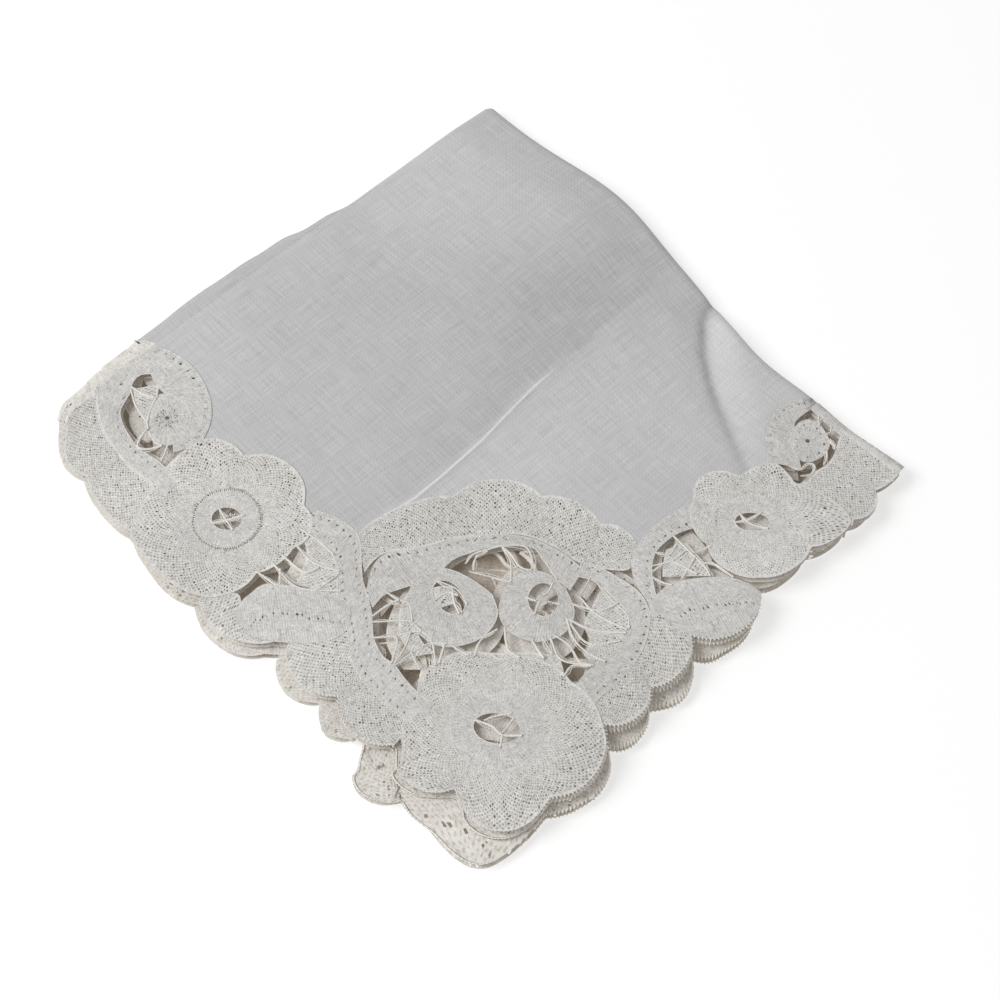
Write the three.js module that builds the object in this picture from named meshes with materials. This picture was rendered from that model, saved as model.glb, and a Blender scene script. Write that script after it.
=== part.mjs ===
import * as THREE from 'three';

// A lace-edged handkerchief folded in quarters and laid flat, in millimetres, +Z up.
// Plan of the folded quarter: x and y start near the lace corner, where all four free corners meet.
// The second fold lies along x = FOLD_X and the first along y = FOLD_Y; the cloth centre is where they cross.

// Driving sizes
const FOLD_X = 137.5;
const FOLD_Y = 142;
const CLOTH = 1.0;
const SPACE = 0.6;
const SEAM = 0.3;

// Each layer lies one pitch above the next; the pair of layers bends round its own thickness at the second fold
const PITCH = CLOTH + SPACE;
const STACK = 4 * CLOTH + 3 * SPACE;
const FIRST_RADIUS = PITCH / 2;
const SECOND_RADIUS = PITCH;
const FIRST_HALF = FIRST_RADIUS * Math.PI / 2;
const SECOND_HALF = SECOND_RADIUS * Math.PI / 2;
const FIRST_STEPS = 6;
const SECOND_STEPS = 8;

// Seam between lawn and lace, from the first fold to the second.
// Each row is the next notch, and how far the scallop before it swells into the lawn.
const SEAM_START = { x: 30.5, y: FOLD_Y };
const SEAM_NOTCHES = [
  { x: 22.8, y: 114.6, swell: 6.4 },
  { x: 26.8, y: 104.8, swell: 1.6 },
  { x: 28.4, y: 85.2, swell: 6.0 },
  { x: 33.2, y: 71.2, swell: 1.2 },
  { x: 55.9, y: 63.8, swell: 2.4 },
  { x: 71.4, y: 49.8, swell: 4.4 },
  { x: 76.4, y: 35.4, swell: 2.6 },
  { x: 77.4, y: 24.4, swell: 2.6 },
  { x: 96.7, y: 25.2, swell: 1.2 },
  { x: 109.5, y: 22.4, swell: 5.0 },
  { x: 118.3, y: 19.4, swell: 1.0 },
  { x: FOLD_X, y: 27.5, swell: 5.2 },
];

// Free edge of the lace, from the second fold round the corner flower to the first fold, swelling outward
const EDGE_START = { x: FOLD_X, y: -1.5 };
const EDGE_NOTCHES = [
  { x: 129.0, y: -1.2, swell: 0.7 },
  { x: 119.0, y: -3.4, swell: 2.4 },
  { x: 106.4, y: -1.6, swell: 2.4 },
  { x: 89.6, y: -2.4, swell: 2.0 },
  { x: 70.4, y: 0.8, swell: 5.0 },
  { x: 54.7, y: -2.2, swell: 3.2 },
  { x: 40.7, y: -1.4, swell: 3.6 },
  { x: 20.8, y: -6.2, swell: 5.0 },
  { x: 7.2, y: 9.4, swell: 8.6 },
  { x: 4.2, y: 26.2, swell: 5.0 },
  { x: 3.0, y: 43.2, swell: 4.0 },
  { x: 5.2, y: 62.0, swell: 5.0 },
  { x: -4.4, y: 83.0, swell: 6.0 },
  { x: -5.0, y: 107.0, swell: 3.0 },
  { x: -3.4, y: 125.0, swell: 1.8 },
  { x: 0.0, y: FOLD_Y, swell: 2.6 },
];

// Steps along the seam and the free edge, and the least turn that counts as one
const SEAM_SPACING = 4.4;
const EDGE_SPACING = 3.4;
const LEAST_TURN = 1e-3;

// How full a scallop is near its notches, from 0 for a wave to 0.1 for nearly a half circle
const SCALLOP_ROUNDING = 0.06;

// Open grounds of one corner of lace: middle, long and wide sizes, turn from the x axis, corners of the outline
const OPENINGS = [
  { x: 23.6, y: 134.8, long: 6.0, wide: 4.2, turn: 10, corners: 6 },
  { x: 14.2, y: 129.4, long: 12.6, wide: 4.4, turn: 62, corners: 8 },
  { x: 12.0, y: 117.2, long: 8.6, wide: 4.0, turn: 82, corners: 6 },
  { x: 13.3, y: 94.6, long: 7.2, wide: 6.0, turn: 129, corners: 8 },
  { x: 19.8, y: 72.6, long: 17.0, wide: 9.6, turn: 74, corners: 8 },
  { x: 28.2, y: 63.0, long: 6.4, wide: 2.8, turn: 44, corners: 4 },
  { x: 22.8, y: 48.4, long: 18.0, wide: 7.4, turn: 44, corners: 8 },
  { x: 21.0, y: 35.4, long: 9.6, wide: 5.0, turn: 20, corners: 6 },
  { x: 30.2, y: 32.4, long: 7.0, wide: 3.6, turn: 150, corners: 6 },
  { x: 37.6, y: 27.6, long: 7.0, wide: 5.4, turn: 155, corners: 6 },
  { x: 46.6, y: 19.4, long: 10.0, wide: 3.8, turn: 176, corners: 6 },
  { x: 57.8, y: 15.6, long: 13.0, wide: 8.6, turn: 22, corners: 8 },
  { x: 63.8, y: 25.6, long: 5.6, wide: 4.2, turn: 60, corners: 6 },
  { x: 45.8, y: 11.6, long: 6.0, wide: 4.2, turn: 9, corners: 6 },
  { x: 53.6, y: 44.6, long: 18.0, wide: 9.6, turn: 139, corners: 8 },
  { x: 37.4, y: 44.8, long: 9.6, wide: 6.4, turn: 82, corners: 8 },
  { x: 52.8, y: 30.0, long: 8.2, wide: 7.0, turn: 46, corners: 8 },
  { x: 23.4, y: 13.4, long: 10.6, wide: 7.4, turn: 123, corners: 8 },
  { x: 72.2, y: 22.6, long: 5.4, wide: 2.8, turn: 31, corners: 4 },
  { x: 80.8, y: 17.0, long: 14.6, wide: 8.0, turn: 14, corners: 8 },
  { x: 87.4, y: 8.4, long: 6.2, wide: 3.4, turn: 122, corners: 6 },
  { x: 102.6, y: 11.8, long: 8.0, wide: 4.8, turn: 131, corners: 8 },
  { x: 132.8, y: 21.8, long: 5.0, wide: 2.6, turn: 160, corners: 4 },
  { x: 120.4, y: 13.6, long: 5.4, wide: 3.4, turn: 146, corners: 6 },
];

// Thread lines of the lawn that carry its relief, closer together at the pressed crease and the groove
const LAWN_X = [37, 48, 59, 69, 78, 87, 96, 105, 112, 118, 124, 130, FOLD_X];
const LAWN_Y = [33, 41, 49, 57, 64, 68.5, 72, 75.5, 80, 88, 97, 106, 115, 124, 133, FOLD_Y];
const LAWN_MARGIN = 2.6;

// How the folded stack lies
const SIDE_SWELL = { y: 100, out: 4.2, reach: 22 };
const SIDE_HOLLOW = { y: 42, out: -4.0, reach: 20 };
const CREASE = { y: 70.0, slope: 0.06, high: 0.8, reach: 2.6, from: 34, to: 108 };
const GROOVE = { x: 122, y: 44, along: 56, deep: 0.8, reach: 4.0, bank: 2.0, bankReach: 11, bankAt: 13 };
const CORNER_LIFT = { x: 20, y: 14, high: 1.2, reach: 34 };
const PUFF = { x: 132, y: 98, high: 1.6, reach: 26 };
const SLIP_OUT = 5.5;
const SLIP_BACK = 5.0;
const SLIP_SIDE = 2.2;
const LAYER_SLIP = [1.0, 0.8, 0.15, 0.0];

function smooth(from, to, value) {
  return THREE.MathUtils.smoothstep(value, from, to);
}

function hill(distance, reach) {
  return Math.exp(-((distance / reach) ** 2));
}

// Height of the top of the stack above its even thickness
function relief(x, y) {
  const creaseLine = y - CREASE.y - CREASE.slope * (x - CREASE.from);
  const creaseEnds = smooth(CREASE.from - 6, CREASE.from, x) * (1 - smooth(CREASE.to - 12, CREASE.to, x));
  const direction = THREE.MathUtils.degToRad(GROOVE.along);
  const across = (x - GROOVE.x) * Math.sin(direction) - (y - GROOVE.y) * Math.cos(direction);
  const ahead = (x - GROOVE.x) * Math.cos(direction) + (y - GROOVE.y) * Math.sin(direction);
  const grooveEnds = hill(ahead, 30);
  return CREASE.high * hill(creaseLine, CREASE.reach) * creaseEnds
    - GROOVE.deep * hill(across, GROOVE.reach) * grooveEnds
    + GROOVE.bank * hill(across - GROOVE.bankAt, GROOVE.bankReach) * grooveEnds
    + PUFF.high * hill(Math.hypot(x - PUFF.x, y - PUFF.y), PUFF.reach)
    + CORNER_LIFT.high * hill(Math.hypot(x - CORNER_LIFT.x, y - CORNER_LIFT.y), CORNER_LIFT.reach);
}

// Share of the lower layers' slip at a height in the even stack
function slipShare(z) {
  const level = THREE.MathUtils.clamp((z - CLOTH / 2) / PITCH, 0, LAYER_SLIP.length - 1);
  const below = Math.min(Math.floor(level), LAYER_SLIP.length - 2);
  return THREE.MathUtils.lerp(LAYER_SLIP[below], LAYER_SLIP[below + 1], level - below);
}

// The even stack as it really lies: bowed at the second fold, its lower layers slipped, its top uneven
function lay(x, y, z) {
  const sideShare = THREE.MathUtils.clamp(x / FOLD_X, 0, 1) ** 3;
  const bow = SIDE_SWELL.out * hill(y - SIDE_SWELL.y, SIDE_SWELL.reach)
    + SIDE_HOLLOW.out * hill(y - SIDE_HOLLOW.y, SIDE_HOLLOW.reach);
  const fromSecondFold = THREE.MathUtils.clamp(1 - x / FOLD_X, 0, 1);
  const share = slipShare(z);
  const out = SLIP_OUT * fromSecondFold * (1 - smooth(20, 112, y));
  const window = smooth(-12, 48, x) * (1 - smooth(56, 92, x));
  const back = SLIP_BACK * window * smooth(60, FOLD_Y, y);
  const side = SLIP_SIDE * fromSecondFold * (1 - smooth(10, 60, y));
  return new THREE.Vector3(
    x + bow * sideShare - out * share,
    y + (back - side) * share,
    z * (1 + relief(x, y) / STACK),
  );
}

// A point of the open cloth, bent round the first fold and then round the second.
// u and v run from the cloth centre; w is the distance from the middle of the thickness.
function fold(u, v, w) {
  const firstTurn = THREE.MathUtils.clamp(v / FIRST_RADIUS, -Math.PI / 2, Math.PI / 2);
  const firstRadius = FIRST_RADIUS + w;
  const y = FOLD_Y + firstRadius * Math.cos(firstTurn) - Math.max(Math.abs(v) - FIRST_HALF, 0);
  const secondTurn = THREE.MathUtils.clamp(u / SECOND_RADIUS, -Math.PI / 2, Math.PI / 2);
  const secondRadius = SECOND_RADIUS + firstRadius * Math.sin(firstTurn);
  const x = FOLD_X + secondRadius * Math.cos(secondTurn) - Math.max(Math.abs(u) - SECOND_HALF, 0);
  return lay(x, y, STACK / 2 + secondRadius * Math.sin(secondTurn));
}

// Points from notch to notch along arcs that swell to the left of the way they run
function scalloped(start, notches, spacing) {
  const points = [new THREE.Vector2(start.x, start.y)];
  for (const notch of notches) {
    const from = points[points.length - 1].clone();
    const to = new THREE.Vector2(notch.x, notch.y);
    const chord = to.clone().sub(from);
    const outward = new THREE.Vector2(-chord.y, chord.x).normalize();
    const steps = Math.max(2, Math.round((chord.length() + notch.swell) / spacing));
    for (let i = 1; i <= steps; i += 1) {
      const share = i / steps;
      const along = share - SCALLOP_ROUNDING * Math.sin(2 * Math.PI * share);
      const out = notch.swell * Math.sin(Math.PI * share);
      points.push(from.clone().addScaledVector(chord, along).addScaledVector(outward, out));
    }
  }
  return points;
}

// The same line moved sideways, with its two ends kept on the fold lines
function moved(points, distance) {
  return points.map((point, i) => {
    const before = points[Math.max(i - 1, 0)];
    const after = points[Math.min(i + 1, points.length - 1)];
    if (i === 0) {
      return new THREE.Vector2(point.x + distance, point.y);
    }
    if (i === points.length - 1) {
      return new THREE.Vector2(point.x, point.y + distance);
    }
    const way = after.clone().sub(before).normalize();
    return new THREE.Vector2(point.x - way.y * distance, point.y + way.x * distance);
  });
}

// Flat cloth: corners and triangles in the u, v plane, shared corners stored once
class FlatCloth {
  constructor() {
    this.corners = [];
    this.triangles = [];
    this.known = new Map();
  }

  corner(u, v) {
    const key = `${u.toFixed(4)} ${v.toFixed(4)}`;
    if (!this.known.has(key)) {
      this.known.set(key, this.corners.length);
      this.corners.push([u, v]);
    }
    return this.known.get(key);
  }

  // A triangle given counter-clockwise, or in either order and turned to it
  triangle(a, b, c) {
    const area = (b[0] - a[0]) * (c[1] - a[1]) - (b[1] - a[1]) * (c[0] - a[0]);
    const [second, third] = area > 0 ? [b, c] : [c, b];
    this.triangles.push([this.corner(...a), this.corner(...second), this.corner(...third)]);
  }

  cell(u0, u1, v0, v1) {
    this.triangle([u0, v0], [u1, v0], [u1, v1]);
    this.triangle([u0, v0], [u1, v1], [u0, v1]);
  }

  // One plan triangle in all four quarters of the open cloth
  inQuarters(a, b, c) {
    for (const sideU of [-1, 1]) {
      for (const sideV of [-1, 1]) {
        const open = (p) => [
          sideU * (SECOND_HALF + FOLD_X - p.x),
          sideV * (FIRST_HALF + FOLD_Y - p.y),
        ];
        this.triangle(open(a), open(b), open(c));
      }
    }
  }

  // The strips of cloth that go round the folds, between stations along each fold
  roundFirstFold(stations) {
    for (let i = 1; i < stations.length; i += 1) {
      for (let step = 0; step < FIRST_STEPS; step += 1) {
        const v0 = FIRST_HALF * (2 * step / FIRST_STEPS - 1);
        const v1 = FIRST_HALF * (2 * (step + 1) / FIRST_STEPS - 1);
        const near = SECOND_HALF + FOLD_X - stations[i];
        const far = SECOND_HALF + FOLD_X - stations[i - 1];
        this.cell(near, far, v0, v1);
        this.cell(-far, -near, v0, v1);
      }
    }
  }

  roundSecondFold(stations) {
    for (let i = 1; i < stations.length; i += 1) {
      for (let step = 0; step < SECOND_STEPS; step += 1) {
        const u0 = SECOND_HALF * (2 * step / SECOND_STEPS - 1);
        const u1 = SECOND_HALF * (2 * (step + 1) / SECOND_STEPS - 1);
        const near = FIRST_HALF + FOLD_Y - stations[i];
        const far = FIRST_HALF + FOLD_Y - stations[i - 1];
        this.cell(u0, u1, near, far);
        this.cell(u0, u1, -far, -near);
      }
    }
  }

  roundBothFolds() {
    for (let i = 0; i < SECOND_STEPS; i += 1) {
      for (let j = 0; j < FIRST_STEPS; j += 1) {
        this.cell(
          SECOND_HALF * (2 * i / SECOND_STEPS - 1), SECOND_HALF * (2 * (i + 1) / SECOND_STEPS - 1),
          FIRST_HALF * (2 * j / FIRST_STEPS - 1), FIRST_HALF * (2 * (j + 1) / FIRST_STEPS - 1),
        );
      }
    }
  }

  // The folded solid: an outer face, an inner face, and a wall along every free edge
  solid() {
    const positions = [];
    for (const side of [1, -1]) {
      for (const [u, v] of this.corners) {
        positions.push(...fold(u, v, side * CLOTH / 2).toArray());
      }
    }
    const count = this.corners.length;
    const index = [];
    const edges = new Set(this.triangles.flatMap(([a, b, c]) => [`${a} ${b}`, `${b} ${c}`, `${c} ${a}`]));
    for (const [a, b, c] of this.triangles) {
      index.push(a, b, c, count + a, count + c, count + b);
      for (const [from, to] of [[a, b], [b, c], [c, a]]) {
        if (!edges.has(`${to} ${from}`)) {
          index.push(to, from, count + from, to, count + from, count + to);
        }
      }
    }
    const geometry = new THREE.BufferGeometry();
    geometry.setAttribute('position', new THREE.Float32BufferAttribute(positions, 3));
    geometry.setIndex(index);
    geometry.computeVertexNormals();
    return geometry;
  }
}

function distanceToLine(point, line) {
  let least = Infinity;
  for (let i = 1; i < line.length; i += 1) {
    const way = line[i].clone().sub(line[i - 1]);
    const share = THREE.MathUtils.clamp(point.clone().sub(line[i - 1]).dot(way) / way.lengthSq(), 0, 1);
    least = Math.min(least, point.distanceTo(line[i - 1].clone().addScaledVector(way, share)));
  }
  return least;
}

function insideLawn(point, seam) {
  let inside = false;
  const ring = [...seam, new THREE.Vector2(FOLD_X + 1, FOLD_Y + 1)];
  for (let i = 0, j = ring.length - 1; i < ring.length; j = i, i += 1) {
    const crosses = (ring[i].y > point.y) !== (ring[j].y > point.y);
    const at = ring[i].x + (ring[j].x - ring[i].x) * (point.y - ring[i].y) / (ring[j].y - ring[i].y);
    if (crosses && point.x < at) {
      inside = !inside;
    }
  }
  return inside;
}

// For each column of the lawn grid, the lowest row line that stays clear of the seam
function lowestRows(seam) {
  const rows = [];
  for (let i = 0; i < LAWN_X.length - 1; i += 1) {
    const clear = LAWN_Y.findIndex((y) => [LAWN_X[i], LAWN_X[i + 1]].every((x) => {
      const point = new THREE.Vector2(x, y);
      return insideLawn(point, seam) && distanceToLine(point, seam) > LAWN_MARGIN;
    }));
    rows.push(clear);
  }
  return rows;
}

// The edge of the grid as a stair of grid corners, from the first fold to the second
function stair(rows) {
  const path = [];
  let row = LAWN_Y.length - 1;
  rows.forEach((lowest, i) => {
    path.push(new THREE.Vector2(LAWN_X[i], LAWN_Y[row]));
    while (row !== lowest) {
      row += Math.sign(lowest - row);
      path.push(new THREE.Vector2(LAWN_X[i], LAWN_Y[row]));
    }
  });
  path.push(new THREE.Vector2(FOLD_X, LAWN_Y[row]));
  return path;
}

// Twice the area of a plan triangle, positive where it runs counter-clockwise
function turning(a, b, c) {
  return (b.x - a.x) * (c.y - a.y) - (b.y - a.y) * (c.x - a.x);
}

// Triangles between a line and another on its left, always taking the shorter way across that doesn't fold back
function zip(cloth, line, left) {
  let i = 0;
  let j = 0;
  while (i < line.length - 1 || j < left.length - 1) {
    const onLine = i < line.length - 1 && turning(line[i], line[i + 1], left[j]) > 0;
    const onLeft = j < left.length - 1 && turning(line[i], left[j + 1], left[j]) > 0;
    const lineShorter = onLine && onLeft && line[i + 1].distanceTo(left[j]) < line[i].distanceTo(left[j + 1]);
    if (lineShorter || !onLeft) {
      cloth.inQuarters(line[i], line[i + 1], left[j]);
      i += 1;
    } else {
      cloth.inQuarters(line[i], left[j + 1], left[j]);
      j += 1;
    }
  }
}


// Middle square of plain lawn, in one piece through its four layers
function lawn() {
  const cloth = new FlatCloth();
  const seam = moved(scalloped(SEAM_START, SEAM_NOTCHES, SEAM_SPACING), SEAM / 2);
  const rows = lowestRows(seam);
  rows.forEach((lowest, i) => {
    for (let j = lowest; j < LAWN_Y.length - 1; j += 1) {
      const corner = (x, y) => new THREE.Vector2(x, y);
      const a = corner(LAWN_X[i], LAWN_Y[j]);
      const b = corner(LAWN_X[i + 1], LAWN_Y[j]);
      const c = corner(LAWN_X[i + 1], LAWN_Y[j + 1]);
      const d = corner(LAWN_X[i], LAWN_Y[j + 1]);
      cloth.inQuarters(a, b, c);
      cloth.inQuarters(a, c, d);
    }
  });
  zip(cloth, seam, stair(rows));
  cloth.roundFirstFold([seam[0].x, ...LAWN_X]);
  cloth.roundSecondFold([seam[seam.length - 1].y, ...LAWN_Y.slice(rows[rows.length - 1])]);
  cloth.roundBothFolds();
  return cloth.solid();
}

// Swaps the shared side of two triangles wherever that leaves neither long and thin
function balanced(points, triangles) {
  const list = triangles.map((triangle) => [...triangle]);
  const angle = (at, one, other) => {
    const first = points[one].clone().sub(points[at]);
    const second = points[other].clone().sub(points[at]);
    return Math.acos(THREE.MathUtils.clamp(first.dot(second) / first.length() / second.length(), -1, 1));
  };
  let swapped = true;
  while (swapped) {
    swapped = false;
    const owner = new Map();
    list.forEach(([a, b, c], t) => {
      owner.set(`${a} ${b}`, [t, c]).set(`${b} ${c}`, [t, a]).set(`${c} ${a}`, [t, b]);
    });
    const changed = new Set();
    for (const [side, [t, c]] of owner) {
      const [a, b] = side.split(' ').map(Number);
      const [other, d] = owner.get(`${b} ${a}`) ?? [];
      if (other === undefined || changed.has(t) || changed.has(other)) {
        continue;
      }
      const convex = turning(points[a], points[d], points[c]) > LEAST_TURN
        && turning(points[d], points[b], points[c]) > LEAST_TURN;
      if (convex && angle(c, a, b) + angle(d, a, b) > Math.PI + LEAST_TURN) {
        list[t] = [a, d, c];
        list[other] = [d, b, c];
        changed.add(t).add(other);
        swapped = true;
      }
    }
  }
  return list;
}

function openingOutline({ x, y, long, wide, turn, corners }) {
  const middle = new THREE.Vector2(x, y);
  return Array.from({ length: corners }, (_, i) => {
    const angle = 2 * Math.PI * i / corners;
    const point = new THREE.Vector2(long / 2 * Math.cos(angle), wide / 2 * Math.sin(angle));
    return point.rotateAround(new THREE.Vector2(), THREE.MathUtils.degToRad(turn)).add(middle);
  });
}

// Border of lace round all four sides, in one piece, with its open grounds cut through every layer
function lace() {
  const cloth = new FlatCloth();
  const seam = moved(scalloped(SEAM_START, SEAM_NOTCHES, SEAM_SPACING), -SEAM / 2);
  const edge = scalloped(EDGE_START, EDGE_NOTCHES, EDGE_SPACING);
  const shape = new THREE.Shape([...seam, ...edge]);
  shape.holes = OPENINGS.map((opening) => new THREE.Path(openingOutline(opening)));
  const flat = new THREE.ShapeGeometry(shape);
  const points = Array.from({ length: flat.attributes.position.count }, (_, i) => (
    new THREE.Vector2().fromBufferAttribute(flat.attributes.position, i)
  ));
  const triangles = Array.from({ length: flat.index.count / 3 }, (_, i) => (
    [0, 1, 2].map((k) => flat.index.getX(3 * i + k))
  ));
  for (const triangle of balanced(points, triangles)) {
    cloth.inQuarters(...triangle.map((i) => points[i]));
  }
  cloth.roundFirstFold([edge[edge.length - 1].x, seam[0].x]);
  cloth.roundSecondFold([edge[0].y, seam[seam.length - 1].y]);
  return cloth.solid();
}

function piece(name, geometry, material) {
  const mesh = new THREE.Mesh(geometry, material);
  mesh.name = name;
  return mesh;
}

const group = new THREE.Group();
group.add(piece('lawn', lawn(), new THREE.MeshStandardMaterial({
  color: 0xd9d8d6, roughness: 0.85, metalness: 0, side: THREE.DoubleSide,
})));
group.add(piece('lace', lace(), new THREE.MeshStandardMaterial({
  color: 0xe6e1d6, roughness: 0.9, metalness: 0, side: THREE.DoubleSide,
})));

// The origin is under the middle of the folded handkerchief
const middle = new THREE.Box3().setFromObject(group).getCenter(new THREE.Vector3());
group.position.set(-middle.x, -middle.y, 0);

export default group;
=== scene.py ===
"""A lace-edged handkerchief, folded in quarters and laid flat on a pale table.

Sizes are in millimetres in the plan of the folded quarter, and become metres where a point is placed.
In the plan, x and y start near the lace corner, where all four free corners meet. The second fold lies
along x = FOLD_X, the first along y = FOLD_Y, and the middle of the cloth is where they cross.
"""
import math
import random
from collections import namedtuple

import bpy
import numpy as np
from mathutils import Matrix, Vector
from mathutils.geometry import delaunay_2d_cdt


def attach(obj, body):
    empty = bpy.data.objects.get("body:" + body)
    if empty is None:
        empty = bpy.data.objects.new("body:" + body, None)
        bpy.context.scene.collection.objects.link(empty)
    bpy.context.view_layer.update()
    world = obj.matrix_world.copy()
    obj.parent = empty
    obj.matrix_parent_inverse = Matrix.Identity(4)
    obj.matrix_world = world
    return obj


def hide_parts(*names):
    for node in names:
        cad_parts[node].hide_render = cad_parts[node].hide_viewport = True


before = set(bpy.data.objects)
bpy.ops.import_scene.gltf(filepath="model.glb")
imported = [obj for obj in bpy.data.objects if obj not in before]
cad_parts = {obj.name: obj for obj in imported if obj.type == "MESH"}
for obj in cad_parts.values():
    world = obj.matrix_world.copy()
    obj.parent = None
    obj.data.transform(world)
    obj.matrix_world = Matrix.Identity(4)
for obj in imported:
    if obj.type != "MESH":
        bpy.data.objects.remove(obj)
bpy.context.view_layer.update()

MM = 0.001
PLAN_MIDDLE = (68.07, 68.65)  # the plan point over the frame's origin

# The folded stack
FOLD_X = 137.5
FOLD_Y = 142.0
CLOTH = 1.0
SPACE = 0.6
PITCH = CLOTH + SPACE
STACK = 4 * CLOTH + 3 * SPACE
FIRST_RADIUS = PITCH / 2
SECOND_RADIUS = PITCH
FIRST_HALF = FIRST_RADIUS * math.pi / 2
SECOND_HALF = SECOND_RADIUS * math.pi / 2
END_X = FOLD_X + SECOND_HALF  # where a quarter of the cloth meets its mirror image
END_Y = FOLD_Y + FIRST_HALF
QUARTERS = [(1, 1), (1, -1), (-1, -1), (-1, 1)]  # from the top layer to the bottom one
ALL, TOP, LOWER, MIDDLE, LOWEST = (0, 1, 2, 3), (0,), (1, 2, 3), (1, 2), (3,)

# How far the lower layers have slid from under the top one at places in the plan: x, y, along x, along y
SLIPS = np.array([
    (6.9, 8.9, -8.4, 7.0), (4.7, 27.4, -3.9, 9.4), (0.7, 18.0, -10.0, 7.2), (10.1, -6.5, -10.4, -1.2),
    (18.5, -6.7, -2.0, -1.0), (38.9, -3.4, -1.6, -3.4), (54.7, -2.2, -2.4, -2.0), (63.0, -4.4, -2.4, -4.2),
    (70.4, 0.8, -2.2, -2.6), (80.0, -4.6, -1.8, -0.4), (89.6, -2.4, -1.5, 0.4),
    (106.0, -1.6, -0.8, 1.0), (137.0, -1.5, 0.0, 1.6), (3.0, 43.2, -3.4, 3.2), (5.2, 62.0, -3.2, 0.6),
    (-4.4, 83.0, -1.4, 0.4), (-5.0, 107.0, 0.0, 0.8), (-3.4, 125.0, 0.0, 2.4), (6.0, 142.0, 0.0, 4.6),
    (20.0, 142.0, 0.0, 6.0), (34.0, 142.0, 0.0, 6.9), (47.0, 142.0, 0.0, 7.4), (60.0, 142.0, 0.0, 7.0),
    (72.0, 142.0, 0.0, 6.2), (84.0, 142.0, 0.0, 4.0), (96.0, 142.0, 0.0, 2.2), (110.0, 142.0, 0.0, 1.0),
    (137.0, 142.0, 0.0, 0.3), (137.0, 100.0, 0.0, 0.0), (137.0, 60.0, 0.0, 0.0), (137.0, 30.0, 0.0, 0.0),
    (60.0, 60.0, -1.6, 0.4), (90.0, 60.0, -0.6, 0.0), (60.0, 100.0, 0.0, 1.6), (100.0, 100.0, 0.0, 0.0),
    (30.0, 30.0, -4.0, 2.0),
])
SLIP_REACH = 6.0
LAYER_SLIP = [0.86, 1.0, -0.05, 0.0]  # share of that slip from the lowest layer to the top one
TOP_BULGE = 1.2  # how far the top fold stands out past the even one, where the lower fold has slid most
BULGE_WIDTH = 12
# How the second fold bows in and out: middle along y, reach, how far out
BOWS = [(100, 22, 4.2), (42, 20, -4.0), (14, 12, -2.2)]
LEFT_TIP = (2.6, -3.2)  # how far the left end of the first fold is drawn in
EDGE_LIFT = 1.7  # the upper two layers' free edge lifts off the lower two
EDGE_LIFT_WIDTH = 13
LEAST_HEIGHT = 0.1

# Seam between lawn and lace: the next notch, and how far the scallop before it swells into the lawn
SEAM_START = (30.5, FOLD_Y)
SEAM_NOTCHES = [
    ((22.8, 114.6), 6.4), ((26.8, 104.8), 1.6), ((28.4, 85.2), 6.0), ((33.2, 71.2), 1.2),
    ((55.9, 63.8), 2.4), ((71.4, 49.8), 4.4), ((76.4, 35.4), 2.6), ((77.4, 24.4), 2.6),
    ((96.7, 25.2), 1.2), ((109.5, 22.4), 5.0), ((118.3, 19.4), 1.0), ((FOLD_X, 27.5), 5.2),
]
# Free edge from the second fold round the corner flower to the first fold, swelling outward
EDGE_START = (FOLD_X, -1.5)
EDGE_NOTCHES = [
    ((129.0, -1.2), 0.7), ((119.0, -3.4), 2.4), ((106.4, -1.6), 2.4), ((89.6, -2.4), 2.0),
    ((70.4, 0.8), 5.0), ((54.7, -2.2), 3.2), ((40.7, -1.4), 3.6), ((20.8, -6.2), 5.0),
    ((7.2, 9.4), 8.6), ((4.2, 26.2), 5.0), ((3.0, 43.2), 4.0), ((5.2, 62.0), 5.0),
    ((-4.4, 83.0), 6.0), ((-5.0, 107.0), 3.0), ((-3.4, 125.0), 1.8), ((0.0, FOLD_Y), 2.6),
]
SCALLOP_ROUNDING = 0.06
LINE_STEP = 0.5  # spacing of the points that carry a line


def smooth(low, high, value):
    share = np.clip((value - low) / (high - low), 0, 1)
    return share * share * (3 - 2 * share)


def hill(distance, reach):
    return np.exp(-((distance / reach) ** 2))


# Lines of the lawn's relief: a pressed crease, a soft groove and a shallow trough
CREASE = [
    (34.2, 71.7), (41.5, 70.3), (48.9, 69.3), (57.7, 69.5), (71.1, 70.3), (82.3, 71.9), (90.0, 72.8),
    (101.4, 73.3),
]
GROOVE = [
    (141.0, 62.0), (134.8, 59.0), (129.6, 53.0), (124.4, 45.0), (119.8, 37.0), (115.0, 28.4), (111.6, 21.0),
]
TROUGH = [(100.0, 88.0), (112.0, 85.6), (124.0, 82.0)]
# Ridges along those lines: distance to the left, reach, height
CREASE_RIDGES = [(0.0, 0.45, 0.28), (-3.0, 4.0, 0.15)]
GROOVE_RIDGES = [(0.0, 1.6, -1.0), (8.0, 6.0, 1.5), (-7.0, 5.5, 0.5)]
TROUGH_DEPTH, TROUGH_REACH = 0.55, 5.0
# Soft rises of the stack: x, y, reach, height
FAR_RISE = (128, 98, 24, 1.6)
CORNER_RISE = (20, 14, 34, 1.2)
FOLD_FALL = 1.3  # how far the stack falls towards the second fold
# Patches of painted light on the lawn or, below 0, painted shade, where its gentle swells and hollows catch
# or lose the light: x, y, reach, amount
PAINTED_LIGHT_PATCHES = [(113, 80, 24, -0.12), (76, 107, 26, -0.05), (116, 132, 20, 0.09)]


def round_place(x, y, place):
    """A soft hill round a place of the plan, from its x, y, reach and height."""
    place_x, place_y, reach, height = place
    return height * hill(np.hypot(x - place_x, y - place_y), reach)


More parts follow.
